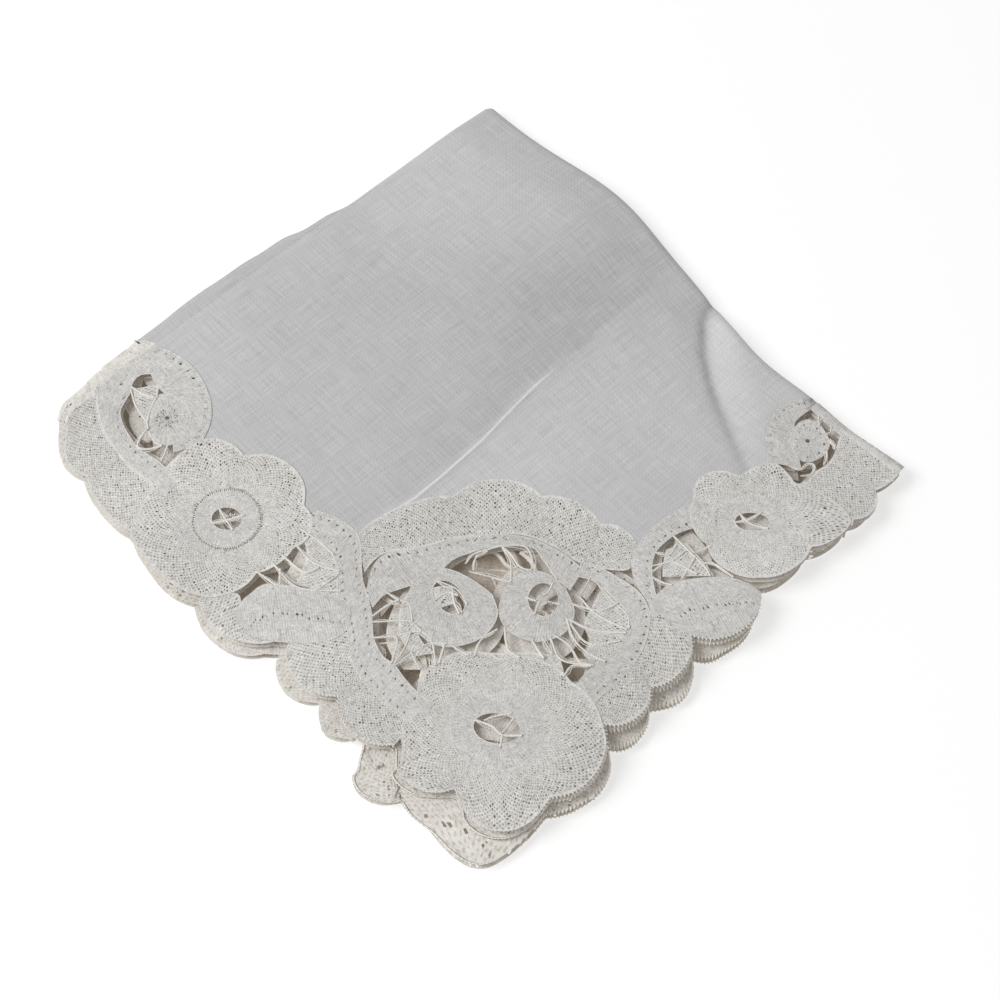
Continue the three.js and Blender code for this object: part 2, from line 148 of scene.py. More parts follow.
def beside(x, y, line):
    """Distance from a line of points, positive on its left, and the share of the way along it."""
    line = np.asarray(line, float)
    best = np.full(np.shape(x), 1e9)
    share = np.zeros(np.shape(x))
    for k, (start, end) in enumerate(zip(line, line[1:])):
        way = end - start
        reach = np.hypot(*way)
        along = np.clip(((x - start[0]) * way[0] + (y - start[1]) * way[1]) / reach ** 2, 0, 1)
        off_x, off_y = x - start[0] - along * way[0], y - start[1] - along * way[1]
        off = np.hypot(off_x, off_y) * np.where(way[0] * off_y - way[1] * off_x < 0, -1, 1)
        nearer = np.abs(off) < np.abs(best)
        best = np.where(nearer, off, best)
        share = np.where(nearer, (k + along) / (len(line) - 1), share)
    return best, share


def relief(x, y):
    """Height of the top of the stack above its even thickness."""
    crease, along = beside(x, y, CREASE)
    crease_ends = smooth(0, 0.15, along) * (1 - smooth(0.8, 1.0, along))
    groove, down = beside(x, y, GROOVE)
    groove_ends = 1 - 0.75 * smooth(0.35, 1.0, down)
    trough, _ = beside(x, y, TROUGH)
    falling = smooth(125, 139, x) * smooth(48, 66, y)
    height = 0
    for off, reach, high in CREASE_RIDGES:
        height = height + high * hill(crease - off, reach) * crease_ends
    for off, reach, high in GROOVE_RIDGES:
        height = height + high * hill(groove - off, reach) * groove_ends
    height = height - TROUGH_DEPTH * hill(trough, TROUGH_REACH) + round_place(x, y, FAR_RISE)
    return height - FOLD_FALL * falling + round_place(x, y, CORNER_RISE)


def painted_light_and_shade(x, y):
    """Painted light and shade on the lawn: a painted highlight along the pressed crease, painted light below
    it and painted shade above it, painted light on the bank of the soft groove and painted shade in the
    groove, and the listed patches.
    """
    crease, along = beside(x, y, CREASE)
    ends = smooth(0, 0.15, along) * (1 - smooth(0.85, 1.0, along))
    groove, down = beside(x, y, GROOVE)
    beyond = smooth(-1, 4, groove) * hill(groove - 4, 16) * (1 - 0.6 * smooth(0.2, 1.0, down))
    pale = (
        0.5 * hill(crease, 0.28) * ends
        + 0.07 * smooth(0, -3, crease) * hill(crease, 26)
        - 0.07 * smooth(0, 3, crease) * hill(crease, 22)
        + 0.225 * beyond
        - 0.2 * hill(groove + 0.4, 1.2) * (1 - 0.5 * smooth(0.5, 1.0, down))
    )
    for patch in PAINTED_LIGHT_PATCHES:
        pale = pale + round_place(x, y, patch)
    return pale


def slid(x, y):
    """The lower layers' slip, taken from the listed places round about."""
    weight = 1 / ((x[:, None] - SLIPS[:, 0]) ** 2 + (y[:, None] - SLIPS[:, 1]) ** 2 + SLIP_REACH ** 2) ** 2
    weight /= weight.sum(axis=1)[:, None]
    return weight @ SLIPS[:, 2], weight @ SLIPS[:, 3]


def lay(x, y, z):
    """The even stack as it really lies: bowed at the second fold, lower layers slipped, its top uneven."""
    side_share = np.clip(x / FOLD_X, 0, 1) ** 3
    bow = sum(out * hill(y - middle, reach) for middle, reach, out in BOWS)
    left_tip = smooth(7, -3, x) * smooth(130, FOLD_Y + 1, y)
    share = np.interp((z - CLOTH / 2) / PITCH, range(4), LAYER_SLIP)
    slip_x, slip_y = slid(x, y)
    by_fold = smooth(FOLD_Y - BULGE_WIDTH, FOLD_Y, y)
    bulge = TOP_BULGE * slip_y / SLIPS[:, 3].max() * by_fold * (1 - share)
    height = z * (1 + relief(x, y) / STACK)
    by_edge = hill(y, EDGE_LIFT_WIDTH) * smooth(4, 24, x) * (1 - smooth(112, 132, x))
    loose = smooth(PITCH, 2 * PITCH, z) * by_edge
    return np.stack([
        x + bow * side_share + slip_x * share + LEFT_TIP[0] * left_tip,
        y + slip_y * share + bulge + LEFT_TIP[1] * left_tip,
        np.maximum(height + EDGE_LIFT * loose, LEAST_HEIGHT),
    ], axis=-1)


WANDER = 4.0
WANDER_START = 40  # distance from a fold at which a layer wanders freely


def wander(x, y, layer):
    """Places of a lower layer's threads, which stray from those above more and more away from the folds."""
    if layer == 0:
        return x, y
    free = WANDER * smooth(0, WANDER_START, FOLD_X - x) * smooth(0, WANDER_START, FOLD_Y - y)
    free = free * smooth(1, 12, np.minimum(x, y))
    phase = 2.1 * layer
    return (
        x + free * np.sin(x / 17 + y / 23 + phase),
        y + free * np.cos(y / 19 - x / 25 + 1.7 * phase),
    )


def fold(points, quarter):
    """Plan points with a lift off the middle of the cloth, in the layer of a quarter, as frame metres."""
    points = np.asarray(points, float)
    side_u, side_v = QUARTERS[quarter]
    x, y = wander(points[:, 0], points[:, 1], quarter)
    u = side_u * (END_X - x)
    v = side_v * (END_Y - y)
    first_turn = np.clip(v / FIRST_RADIUS, -math.pi / 2, math.pi / 2)
    first_radius = FIRST_RADIUS + points[:, 2]
    y = FOLD_Y + first_radius * np.cos(first_turn) - np.maximum(np.abs(v) - FIRST_HALF, 0)
    second_turn = np.clip(u / SECOND_RADIUS, -math.pi / 2, math.pi / 2)
    second_radius = SECOND_RADIUS + first_radius * np.sin(first_turn)
    x = FOLD_X + second_radius * np.cos(second_turn) - np.maximum(np.abs(u) - SECOND_HALF, 0)
    place = lay(x, y, STACK / 2 + second_radius * np.sin(second_turn))
    place[:, :2] -= PLAN_MIDDLE
    return place * MM


# Lines in the plan
CURVE_PARTS = 8  # parts of a curve between two of its listed points


def length(line):
    return float(np.hypot(*np.diff(np.asarray(line)[:, :2], axis=0).T).sum())


def spaced(line, count):
    """The same line as count + 1 points at even distances."""
    line = np.asarray(line, float)
    run = np.concatenate([[0], np.cumsum(np.hypot(*np.diff(line[:, :2], axis=0).T))])
    wanted = np.linspace(0, run[-1], count + 1)
    return np.stack([np.interp(wanted, run, line[:, k]) for k in range(line.shape[1])], axis=1)


def shared_out(line, count):
    """The line as count + 1 points, shared out by its own points, so that paired lines stay paired."""
    wanted = np.linspace(0, len(line) - 1, count + 1)
    return np.stack([np.interp(wanted, range(len(line)), line[:, k]) for k in (0, 1)], axis=1)


def curved(points):
    """A smooth line through the listed points."""
    points = np.asarray(points, float)
    padded = np.concatenate([2 * points[:1] - points[1:2], points, 2 * points[-1:] - points[-2:-1]])
    line = []
    for a, b, c, d in zip(padded, padded[1:], padded[2:], padded[3:]):
        for t in np.linspace(0, 1, CURVE_PARTS + 1)[:-1]:
            line.append(0.5 * (2 * b + (c - a) * t + (2 * a - 5 * b + 4 * c - d) * t ** 2
                               + (3 * b - a - 3 * c + d) * t ** 3))
    line.append(points[-1])
    return spaced(line, max(2, round(length(line) / LINE_STEP)))


def scalloped(start, notches, side=1):
    """A line from notch to notch along arcs that swell to the left of their way, or right for side -1."""
    line = [np.array(start, float)]
    for notch, swell in notches:
        begin, chord = line[-1], np.array(notch) - line[-1]
        outward = side * np.array([-chord[1], chord[0]]) / np.hypot(*chord)
        steps = max(4, round((np.hypot(*chord) + swell) / LINE_STEP))
        for share in np.arange(1, steps + 1) / steps:
            along = share - SCALLOP_ROUNDING * math.sin(2 * math.pi * share)
            line.append(begin + chord * along + outward * swell * math.sin(math.pi * share))
    return np.array(line)


def round_middle(middle, line_or_radii, count=360):
    """A closed line as one point for each degree round a middle, from its own outline or an oval's sizes."""
    angle = np.linspace(0, 2 * math.pi, count + 1)
    if isinstance(line_or_radii, tuple):
        long, wide, turn = line_or_radii
        lean = angle - math.radians(turn)
        reach = 0.5 / np.sqrt((np.cos(lean) / long) ** 2 + (np.sin(lean) / wide) ** 2)
    else:
        way = line_or_radii - np.array(middle)
        own = np.mod(np.arctan2(way[:, 1], way[:, 0]), 2 * math.pi)
        order = np.argsort(own)
        reach = np.interp(angle, own[order], np.hypot(*way[order].T), period=2 * math.pi)
    return np.stack([middle[0] + reach * np.cos(angle), middle[1] + reach * np.sin(angle)], axis=1)


def stretch(line, start, end):
    """The part of a line between the points nearest to two others, run from the first to the second."""
    first = int(np.argmin(np.hypot(*(line - np.array(start)).T)))
    last = int(np.argmin(np.hypot(*(line - np.array(end)).T)))
    return line[first:last + 1] if first < last else line[last:first + 1][::-1]


def to_folds(line):
    """A line between the folds, carried on to where the quarter meets its mirror images."""
    first, last = line[0], line[-1]
    if first[0] < last[0]:
        ends = [(first[0], END_Y)], [(END_X, last[1])]
    else:
        ends = [(END_X, first[1])], [(last[0], END_Y)]
    return np.concatenate([ends[0], line, ends[1]])


SEAM = to_folds(scalloped(SEAM_START, SEAM_NOTCHES))
EDGE = to_folds(scalloped(EDGE_START, EDGE_NOTCHES))


# Meshes
# Kinds of face: close work, threads of the net, and faces that close net holes in painted shade
CLOTHWORK, NET, PAINTED_HOLE_SHADE = 0, 1, 2


class Work:
    """Work of one quarter in the plan: points with a lift, thread directions, faces and material numbers."""

    def __init__(self, grain=None):
        self.grain = grain  # how fine its stitches are
        self.cords = []  # outlining threads to lay: line, radius, lift
        self.points = []
        self.threads = []
        self.faces = []
        self.kinds = []

    def point(self, x, y, lift, along, across):
        self.points.append((x, y, lift))
        self.threads.append((along, across))
        return len(self.points) - 1

    def face(self, corners, kind=0):
        self.faces.append(list(corners))
        self.kinds.append(kind)


def folded(name, work, materials, quarters, painted_lighting=None):
    """The work of one quarter laid in some of the four layers of the folded stack, as one object."""
    places, faces = [], []
    for turn, quarter in enumerate(quarters):
        side_u, side_v = QUARTERS[quarter]
        places.append(fold(work.points, quarter))
        start = turn * len(work.points)
        for face in work.faces:
            shifted = [corner + start for corner in face]
            faces.append(shifted if side_u * side_v > 0 else shifted[::-1])
    mesh = bpy.data.meshes.new(name)
    mesh.from_pydata(np.concatenate(places).tolist(), [], faces)
    mesh.polygons.foreach_set("use_smooth", [True] * len(faces))
    mesh.polygons.foreach_set("material_index", work.kinds * len(quarters))
    corners = np.empty(len(mesh.loops), int)
    mesh.loops.foreach_get("vertex_index", corners)
    layer = mesh.uv_layers.new(name="threads")
    layer.data.foreach_set("uv", np.array(work.threads * len(quarters))[corners].ravel())
    # painted light and shade of the lawn, carried to its material in a UV map
    if painted_lighting:
        pale = painted_lighting(*np.array(work.points)[:, :2].T)
        with_painted_lighting = np.column_stack([pale, np.zeros_like(pale)])
        layer = mesh.uv_layers.new(name="painted_lighting")
        layer.data.foreach_set("uv", with_painted_lighting[corners % len(pale)].ravel())
    for material in materials:
        mesh.materials.append(material)
    piece = bpy.data.objects.new(name, mesh)
    bpy.context.scene.collection.objects.link(piece)
    return piece


# Lace stitches
# How fine a layer's stitches are: half the distance from one to the next along a row for each kind of work,
# the share of the net's stitches whose holes a face of painted shade closes, and how far a hole's inner edge
# lies below the others
Grain = namedtuple("Grain", "stitch filled hollow")
FINE = Grain({CLOTHWORK: 0.54, NET: 0.44}, 0.8, 0.09)
PLAIN = Grain({CLOTHWORK: 0.76, NET: 0.62}, 0.985, 0.02)
UNDER = Grain({CLOTHWORK: 0.76, NET: 0.5}, 0.985, 0.02)
LOOSE = {CLOTHWORK: 0.3, NET: 0.42}  # how far a stitch may stand off its row, as a share of a stitch
LEAST_HOLE, MOST_HOLE = 0.08, 0.8
SLIT = (0.8, 1.6)  # how much longer than wide a hole is
EDGE_GAP, EDGE_SIGHT = 1.5, 0.04  # how near the free edge runs to a flower that reaches it, in mm and radians
WIDE = 0.6  # holes from this size up stay open
UNEVEN_HOLE = 0.16
FOLD_MARGIN = 0.3  # no holes this near to a fold
SEED = 7
chance = random.Random(SEED)


def stitches(work, near, far, kind, lift=0.0, dome=0.0, closed=False, holes=None):
    """Lace worked between two lines in staggered diamond stitches, each with a hole of its own size.

    dome is how far its middle rises, a number or a function of the share of the way along. holes gives a
    hole's share of its stitch from the mm to the near line, the mm to the far line and the column.
    """
    stitch = work.grain.stitch[kind]
    loose = LOOSE[kind] * stitch
    mean = (length(near) + length(far)) / 2
    columns = 2 * max(2, round(mean / (2 * stitch)))
    near, far = shared_out(near, columns), shared_out(far, columns)
    widths = np.hypot(*(far - near).T)
    width = float(np.mean(widths))
    rows = 2 * max(1, round(width / (2 * stitch)))
    places, made = {}, {}

    def knot(i, j):
        if (i, j) not in made:
            own = (i % columns if closed else i, j)
            if own not in places:
                share = j / rows
                x, y = near[own[0]] + (far[own[0]] - near[own[0]]) * share
                if 0 < j < rows and (closed or 0 < i < columns):
                    x += chance.uniform(-loose, loose)
                    y += chance.uniform(-loose, loose)
                rise = dome(own[0] / columns) if callable(dome) else dome
                places[own] = x, y, lift + rise * math.sin(math.pi * share)
            made[i, j] = work.point(*places[own], i * mean / columns, j / rows * width)
        return made[i, j]

    for i in range(columns if closed else columns + 1):
        for j in range((i + 1) % 2, rows + 1, 2):
            around = [(i - 1, j), (i, j - 1), (i + 1, j), (i, j + 1)]
            around = [(a, b) for a, b in around if 0 <= b <= rows and (closed or 0 <= a <= columns)]
            if len(around) < 3:
                continue
            ring = [knot(a, b) for a, b in around]
            span = widths[i]
            clear = near[i][0] < FOLD_X - FOLD_MARGIN and near[i][1] < FOLD_Y - FOLD_MARGIN
            whole = holes and len(ring) == 4 and clear
            hole = holes(span * j / rows, span * (1 - j / rows), i) if whole else 0
            if hole <= LEAST_HOLE:
                work.face(ring, kind)
                continue
            slit = chance.uniform(*SLIT)
            sizes = (hole / slit, hole * slit) * 2
            outer = [work.points[c] for c in ring]
            middle = [sum(c[k] for c in outer) / 4 for k in range(3)]
            inner = []
            for corner, place, size in zip(ring, outer, sizes):
                size = min(size, MOST_HOLE)
                x, y, z = (m + (p - m) * size for m, p in zip(middle, place))
                inner.append(work.point(x, y, z - work.grain.hollow, *work.threads[corner]))
            for k in range(4):
                work.face((ring[k], ring[k - 3], inner[k - 3], inner[k]), kind)
            # most smaller net holes are closed by a face of painted shade
            if kind == NET and hole < WIDE and chance.random() < work.grain.filled:
                work.face(inner, PAINTED_HOLE_SHADE)


def net(size=0.46, spread=UNEVEN_HOLE, border=0.5):
    """A net whose holes differ by chance and close up along its borders."""
    def holes(near, far, column):
        return 0 if min(near, far) < border else size + chance.uniform(-spread, spread)
    return holes


PIN_REACH = 0.32


def pinholes(from_near=(), from_far=(), size=0.5, apart=4):
    """Close work with rows of pinholes at distances from its two lines, one in so many columns."""
    def holes(near, far, column):
        rows = [abs(near - d) for d in from_near] + [abs(far - d) for d in from_far]
        in_row = min(rows, default=math.inf) < PIN_REACH and column % apart < 2
        return size + chance.uniform(-UNEVEN_HOLE, UNEVEN_HOLE) if in_row else 0
    return holes


PETAL_RIM, PETAL_RING = 0.5, 0.9  # close rim of a petal, and the row of pinholes at its ring
PETAL_HOLES = (0.26, 0.22, 8)  # size by the ring, how much larger further out, and how far out that is


def petal_holes(by_ring):
    """Pinholes round the ring, then threads that fan out and open into a net towards the petal's edge."""
    least, more, reach = PETAL_HOLES

    def holes(near, far, column):
        if far < PETAL_RIM:
            return 0
        if near < PETAL_RING:
            return by_ring + chance.uniform(-0.1, 0.1)
        return least + more * min(near, reach) / reach + chance.uniform(-UNEVEN_HOLE, UNEVEN_HOLE)
    return holes


def cord(work, line, radius=0.13, lift=0.25):
    work.cords.append((np.asarray(line, float), radius, lift))


def out_to_edge(middle, outline):
    """The outline of a flower, carried out to the free edge wherever that runs close to it."""
    turn = np.arctan2(outline[:, 1] - middle[1], outline[:, 0] - middle[0])
    reach = np.hypot(*(outline - np.array(middle)).T)
    way = EDGE - np.array(middle)
    own, far = np.arctan2(way[:, 1], way[:, 0]), np.hypot(*way.T)
    for k, angle in enumerate(turn):
        apart = np.abs((own - angle + math.pi) % (2 * math.pi) - math.pi)
        near = int(np.argmin(apart + 0.01 * np.abs(far - reach[k])))
        if apart[near] < EDGE_SIGHT and abs(far[near] - reach[k]) < EDGE_GAP:
            reach[k] = far[near]
    return np.stack([middle[0] + reach * np.cos(turn), middle[1] + reach * np.sin(turn)], axis=1)


VALLEY, PETAL_RISE = -0.12, 0.34  # depth between two petals, and how far a petal rises from it
VALLEY_WIDTH = 0.045  # as a share of a full turn


def flower(work, middle, hole, ring, notches, lift, by_ring, edged=False):
    """A close ring round an open middle, with net petals out to a scalloped outline."""
    opening = round_middle(middle, hole)
    circle = round_middle(middle, (2 * ring, 2 * ring, 0))
    outline = round_middle(middle, scalloped(notches[-1][0], notches, side=-1))
    if edged:
        outline = out_to_edge(middle, outline)
    stitches(work, opening, circle, CLOTHWORK, lift=lift, dome=0.04, closed=True)
    valleys = [math.atan2(y - middle[1], x - middle[0]) / (2 * math.pi) % 1 for (x, y), _ in notches]

    def petal_rise(turn):
        nearest = min(min(abs(turn - valley), 1 - abs(turn - valley)) for valley in valleys)
        return VALLEY + PETAL_RISE * float(smooth(0, VALLEY_WIDTH, nearest))

    stitches(work, circle, outline, NET, lift=lift, dome=petal_rise, closed=True,
             holes=petal_holes(by_ring))
    cord(work, opening, 0.11, lift)
    cord(work, outline, 0.08, lift)


def coil(work, middle, hole_middle, hole, outline, lift):
    """A close disc with its hole off the middle, as a coiled end of tape makes."""
    opening = round_middle(hole_middle, hole)
    rim = round_middle(middle, outline)
    stitches(work, opening, rim, CLOTHWORK, lift=lift, dome=0.06, closed=True)
    cord(work, opening, 0.11, lift)
    cord(work, rim, 0.1, lift)


def tape(work, near, far, lift, rows=(1.5,), far_rows=(), dome=0.05):
    """Close tape between two lines, with pinholes along its sides and a thread round them."""
    stitches(work, near, far, CLOTHWORK, lift=lift, dome=dome, holes=pinholes(rows, far_rows))
    cord(work, near, 0.09, lift)
    cord(work, far, 0.09, lift)


def ground(work, near, far, lift=0.1, size=0.46, spread=UNEVEN_HOLE):
    """Open net between two lines."""
    stitches(work, near, far, NET, lift=lift, dome=0.08, holes=net(size, spread))


# The pieces of lace
def flowers(work):
    flower(work, (23.2, 13.4), (10.6, 7.4, 123), 10.0, [
        ((40.6, -1.3), 4.8), ((42.8, 10.6), 1.4), ((35.2, 25.6), 3.0), ((25.0, 34.4), 2.2),
        ((15.6, 30.6), 1.8), ((5.6, 24.6), 1.6), ((7.2, 9.4), 4.8), ((20.8, -6.2), 8.5),
    ], 0.24, 0.3, edged=True)
    flower(work, (13.4, 94.5), (7.2, 6.0, 129), 7.3, [
        ((28.6, 85.2), 3.2), ((26.8, 104.8), 5.6), ((22.6, 114.8), 1.8), ((8.0, 113.6), 1.0),
        ((-4.6, 107.0), 0.6), ((-4.0, 84.0), 2.6), ((9.4, 79.2), 2.6), ((19.6, 78.4), 1.2),
    ], 0.23, 0.7)
    flower(work, (102.4, 12.0), (8.0, 5.2, 131), 7.6, [
        ((106.4, -1.8), 2.2), ((118.4, -3.2), 1.6), ((117.4, 12.6), 1.6), ((118.4, 19.4), 0.6),
        ((109.5, 22.6), 1.0), ((96.7, 25.4), 4.6), ((90.6, 15.0), 2.0), ((92.4, 0.4), 3.0),
    ], 0.23, 0.45)


def coils(work):
    coil(work, (36.0, 41.6), (37.4, 44.8), (9.6, 6.4, 82), curved([
        (45.2, 38.8), (44.0, 46.0), (41.0, 51.6), (35.0, 53.4), (28.6, 49.6), (26.4, 44.8),
        (27.0, 38.4), (30.4, 34.4), (36.6, 32.2), (42.4, 34.0), (45.2, 38.8),
    ]), 0.26)
    coil(work, (50.3, 28.9), (52.8, 30.0), (8.6, 7.0, 46), curved([
        (58.9, 29.6), (57.6, 35.2), (53.4, 38.4), (47.4, 37.4), (42.6, 33.6), (41.8, 28.2),
        (44.6, 23.0), (50.4, 20.6), (55.8, 23.0), (58.9, 29.6),
    ]), 0.27)


HEART_OUTER = curved([
    (24.9, 82.0), (25.4, 76.1), (25.2, 70.8), (22.7, 66.2), (19.3, 62.2), (16.5, 56.5), (13.9, 52.2),
    (11.1, 48.0), (9.3, 41.4), (9.3, 34.8), (10.0, 29.0), (11.6, 26.0),
])
HEART_INNER = curved([
    (30.0, 82.4), (32.4, 76.6), (32.8, 70.9), (29.8, 66.4), (26.2, 61.7), (24.1, 57.4), (21.6, 53.2),
    (18.3, 48.9), (16.7, 44.0), (17.2, 40.7), (16.6, 36.3), (16.5, 30.9), (17.4, 27.4),
])
ARCH_UPPER = curved([
    (24.6, 58.6), (30.0, 62.4), (34.8, 62.8), (41.0, 58.6), (48.1, 55.1), (53.8, 51.5), (60.7, 45.1),
    (63.9, 37.8), (64.8, 32.6), (64.8, 29.4),
])
ARCH_LOWER = curved([
    (23.0, 54.6), (27.0, 55.2), (31.5, 53.6), (35.5, 51.8), (39.5, 51.0), (44.3, 51.4), (47.8, 50.4),
    (52.3, 48.5), (56.2, 45.9), (59.9, 42.2), (60.5, 38.1), (58.8, 33.0), (59.0, 27.6),
])
BAND_OUTER = curved([
    (66.0, 31.4), (67.8, 28.3), (69.5, 22.2), (70.2, 16.8), (68.6, 12.0), (65.3, 8.6), (59.2, 5.2),
    (52.0, 3.6), (45.1, 3.4), (40.0, 2.2),
])
BAND_INNER = curved([
    (62.6, 29.4), (64.6, 25.6), (65.0, 21.0), (64.6, 14.8), (61.6, 11.4), (57.0, 9.8), (52.3, 9.2),
    (49.1, 10.2), (43.4, 9.4), (40.4, 9.8),
])
TAPE_RIGHT_OUTER = curved([
    (67.2, 9.6), (69.8, 13.6), (71.0, 18.0), (73.0, 21.8), (75.6, 24.2), (80.6, 26.2), (85.8, 26.7),
    (91.4, 26.2), (97.4, 24.6),
])
TAPE_RIGHT_INNER = curved([
    (70.6, 9.0), (72.2, 13.0), (74.4, 16.4), (77.2, 19.6), (80.5, 21.6), (83.8, 22.0), (87.0, 21.8),
    (90.6, 20.6), (94.4, 18.6),
])


def tapes(work):
    tape(work, HEART_OUTER, HEART_INNER, 0.17, rows=(1.5,), far_rows=(1.5,))
    tape(work, ARCH_UPPER, ARCH_LOWER, 0.2, rows=(0.9,))
    tape(work, BAND_OUTER, BAND_INNER, 0.17, rows=(1.0,))
    tape(work, TAPE_RIGHT_OUTER, TAPE_RIGHT_INNER, 0.16, rows=(), far_rows=(1.2,))
    # the two leaves
    leaf(work, curved([
        (-0.8, 74.8), (3.4, 76.0), (8.0, 75.3), (11.5, 73.1), (15.6, 67.6), (19.2, 61.6), (19.6, 58.6),
    ]), curved([
        (-1.4, 73.0), (-1.9, 69.4), (-0.4, 65.3), (4.6, 59.6), (10.3, 55.0), (15.1, 54.2), (18.2, 56.0),
    ]), 0.2)
    leaf(work, curved([
        (70.2, 12.6), (73.6, 13.6), (77.8, 12.9), (82.7, 9.8), (87.2, 5.4), (89.4, 0.6),
    ]), np.concatenate([curved([(69.4, 9.6), (69.0, 5.0)]), stretch(EDGE, (70.4, 0.8), (89.4, -2.4))]), 0.19)


def leaf(work, near, far, lift):
    """A close leaf with a row of pinholes for its rib."""
    half = length([near[len(near) // 2], far[len(far) // 2]]) / 2
    stitches(work, near, far, CLOTHWORK, lift=lift, dome=0.1, holes=pinholes((half,), apart=3))
    cord(work, near, 0.09, lift)


def nets(work):
    # the fan over the arch, out to the seam
    ground(work, np.concatenate([
        curved([(27.6, 62.6), (30.6, 63.4), (34.8, 63.0), (41.0, 58.8), (48.1, 55.3), (53.8, 51.7)]),
        curved([
            (54.4, 51.2), (60.9, 45.3), (64.2, 37.8), (65.4, 31.6), (68.4, 26.6), (71.8, 23.0), (74.0, 22.4),
        ]),
    ]), stretch(SEAM, (32.4, 72.6), (77.6, 24.6)), lift=0.11)
    # between the left leaf and the edge
    ground(work, stretch(EDGE, (-4.4, 83.0), (5.0, 59.0)), curved([
        (-2.6, 82.6), (3.0, 78.0), (0.4, 73.6), (0.0, 69.4), (1.4, 65.3), (6.6, 59.0),
    ]), lift=0.1)
    # down the left side between the heart and the edge
    ground(work, stretch(EDGE, (5.2, 62.0), (4.2, 25.4)), curved([
        (18.6, 58.6), (14.6, 52.6), (11.6, 48.0), (9.9, 41.4), (9.9, 34.8), (10.4, 29.8), (11.0, 27.0),
    ]), lift=0.1)
    # along the right side between the band and the edge
    ground(work, curved([
        (71.6, 9.4), (68.8, 11.6), (65.3, 9.0), (59.2, 5.6), (52.0, 4.0), (45.1, 3.8), (39.6, 3.6),
    ]), stretch(EDGE, (70.4, 0.8), (38.0, -3.6)), lift=0.1)
    # by the second fold, out to the edge
    ground(work, curved([
        (116.6, 12.6), (119.7, 11.0), (123.6, 11.6), (127.4, 11.2), (131.0, 12.0), (134.2, 13.6),
        (END_X, 16.0),
    ]), stretch(EDGE, (117.6, -4.4), (END_X, -1.5)), lift=0.1)
    # by the first fold, from the edge to the tape
    ground(work, stretch(EDGE, (0.0, END_Y), (-5.0, 106.0)), RING_TAPE_OUTER, lift=0.1)


def webs(work):
    """Sheer net that fills parts of the open grounds, a little below the tapes."""
    for near, far in (
        ([(63.5, 22.9), (59.4, 21.2), (55.4, 19.4), (53.2, 15.4), (49.7, 13.6)],
         [(66.0, 22.0), (65.4, 14.3), (61.6, 9.7), (54.7, 8.6), (49.8, 9.0)]),
        ([(33.1, 52.5), (28.9, 51.2), (24.6, 47.7), (22.3, 43.8), (22.0, 39.0)],
         [(35.6, 50.3), (30.9, 48.4), (27.4, 45.1), (25.6, 40.7), (25.8, 36.5)]),
        ([(26.1, 34.3), (31.8, 31.2), (36.4, 26.8), (41.7, 22.2), (45.7, 17.2)],
         [(24.8, 30.5), (30.0, 27.0), (34.8, 23.4), (39.4, 18.6), (43.0, 12.6)]),
        ([(14.6, 71.2), (17.9, 73.0), (21.3, 75.6), (22.9, 78.6)],
         [(18.6, 61.4), (22.3, 65.9), (25.4, 70.0), (27.0, 76.6)]),
        ([(82.7, 20.5), (79.6, 18.4), (77.0, 16.0)], [(87.4, 18.7), (86.8, 13.4), (85.5, 8.0)]),
    ):
        ground(work, curved(near), curved(far), lift=0.02, size=0.4)


def painted_shade_backing(work):
    """Closed net of the lowest quarter under the open grounds of those above, standing in for lace below; its
    brown finish is painted shade.
    """
    for near, far in (
        ([(36, 62), (24, 59), (17, 51), (14, 42), (14, 34), (15, 25)],
         [(66, 50), (69, 36), (71, 25), (69, 13), (56, 5), (42, 5)]),
        ([(6, 80), (12, 71), (18, 60)], [(24, 84), (29, 72), (26, 63)]),
        ([(69, 12), (79, 9), (90, 2)], [(72, 23), (84, 25), (94, 21)]),
        ([(8, 110), (8, 124), (14, 134)], [(20, 112), (27, 124), (26, 138)]),
        ([(117, 10), (126, 9), (135, 11)], [(117, 18), (126, 25), (136, 25)]),
        ([(9, 97), (9, 92)], [(18, 98), (18, 91)]),
        ([(18, 18), (18, 8)], [(29, 18), (29, 8)]),
    ):
        ground(work, curved(near), curved(far), lift=0.05, size=0.0, spread=0.0)


RING_TAPE_OUTER = np.concatenate([[(13.6, END_Y)], curved([
    (12.8, 141.0), (10.2, 137.8), (7.4, 132.5), (6.4, 127.9), (5.9, 121.3), (6.6, 114.9), (7.4, 109.0),
])])
RING_TAPE_INNER = np.concatenate([[(20.0, END_Y)], curved([
    (19.8, 141.0), (19.6, 137.0), (17.0, 135.4), (13.4, 133.8), (11.6, 130.8), (10.6, 126.8), (10.2, 123.1),
    (10.8, 119.8), (11.5, 116.1), (11.2, 109.6),
])])


def disc(work, middle, outline, lift, holes):
    """A close round with its own outline, worked out from a small hole, with a thread round it."""
    rim = round_middle(middle, curved(outline))
    hole = round_middle(middle, (1.0, 1.0, 0))
    stitches(work, hole, rim, CLOTHWORK, lift=lift, dome=0.05, closed=True, holes=holes)
    cord(work, rim, 0.1, lift)


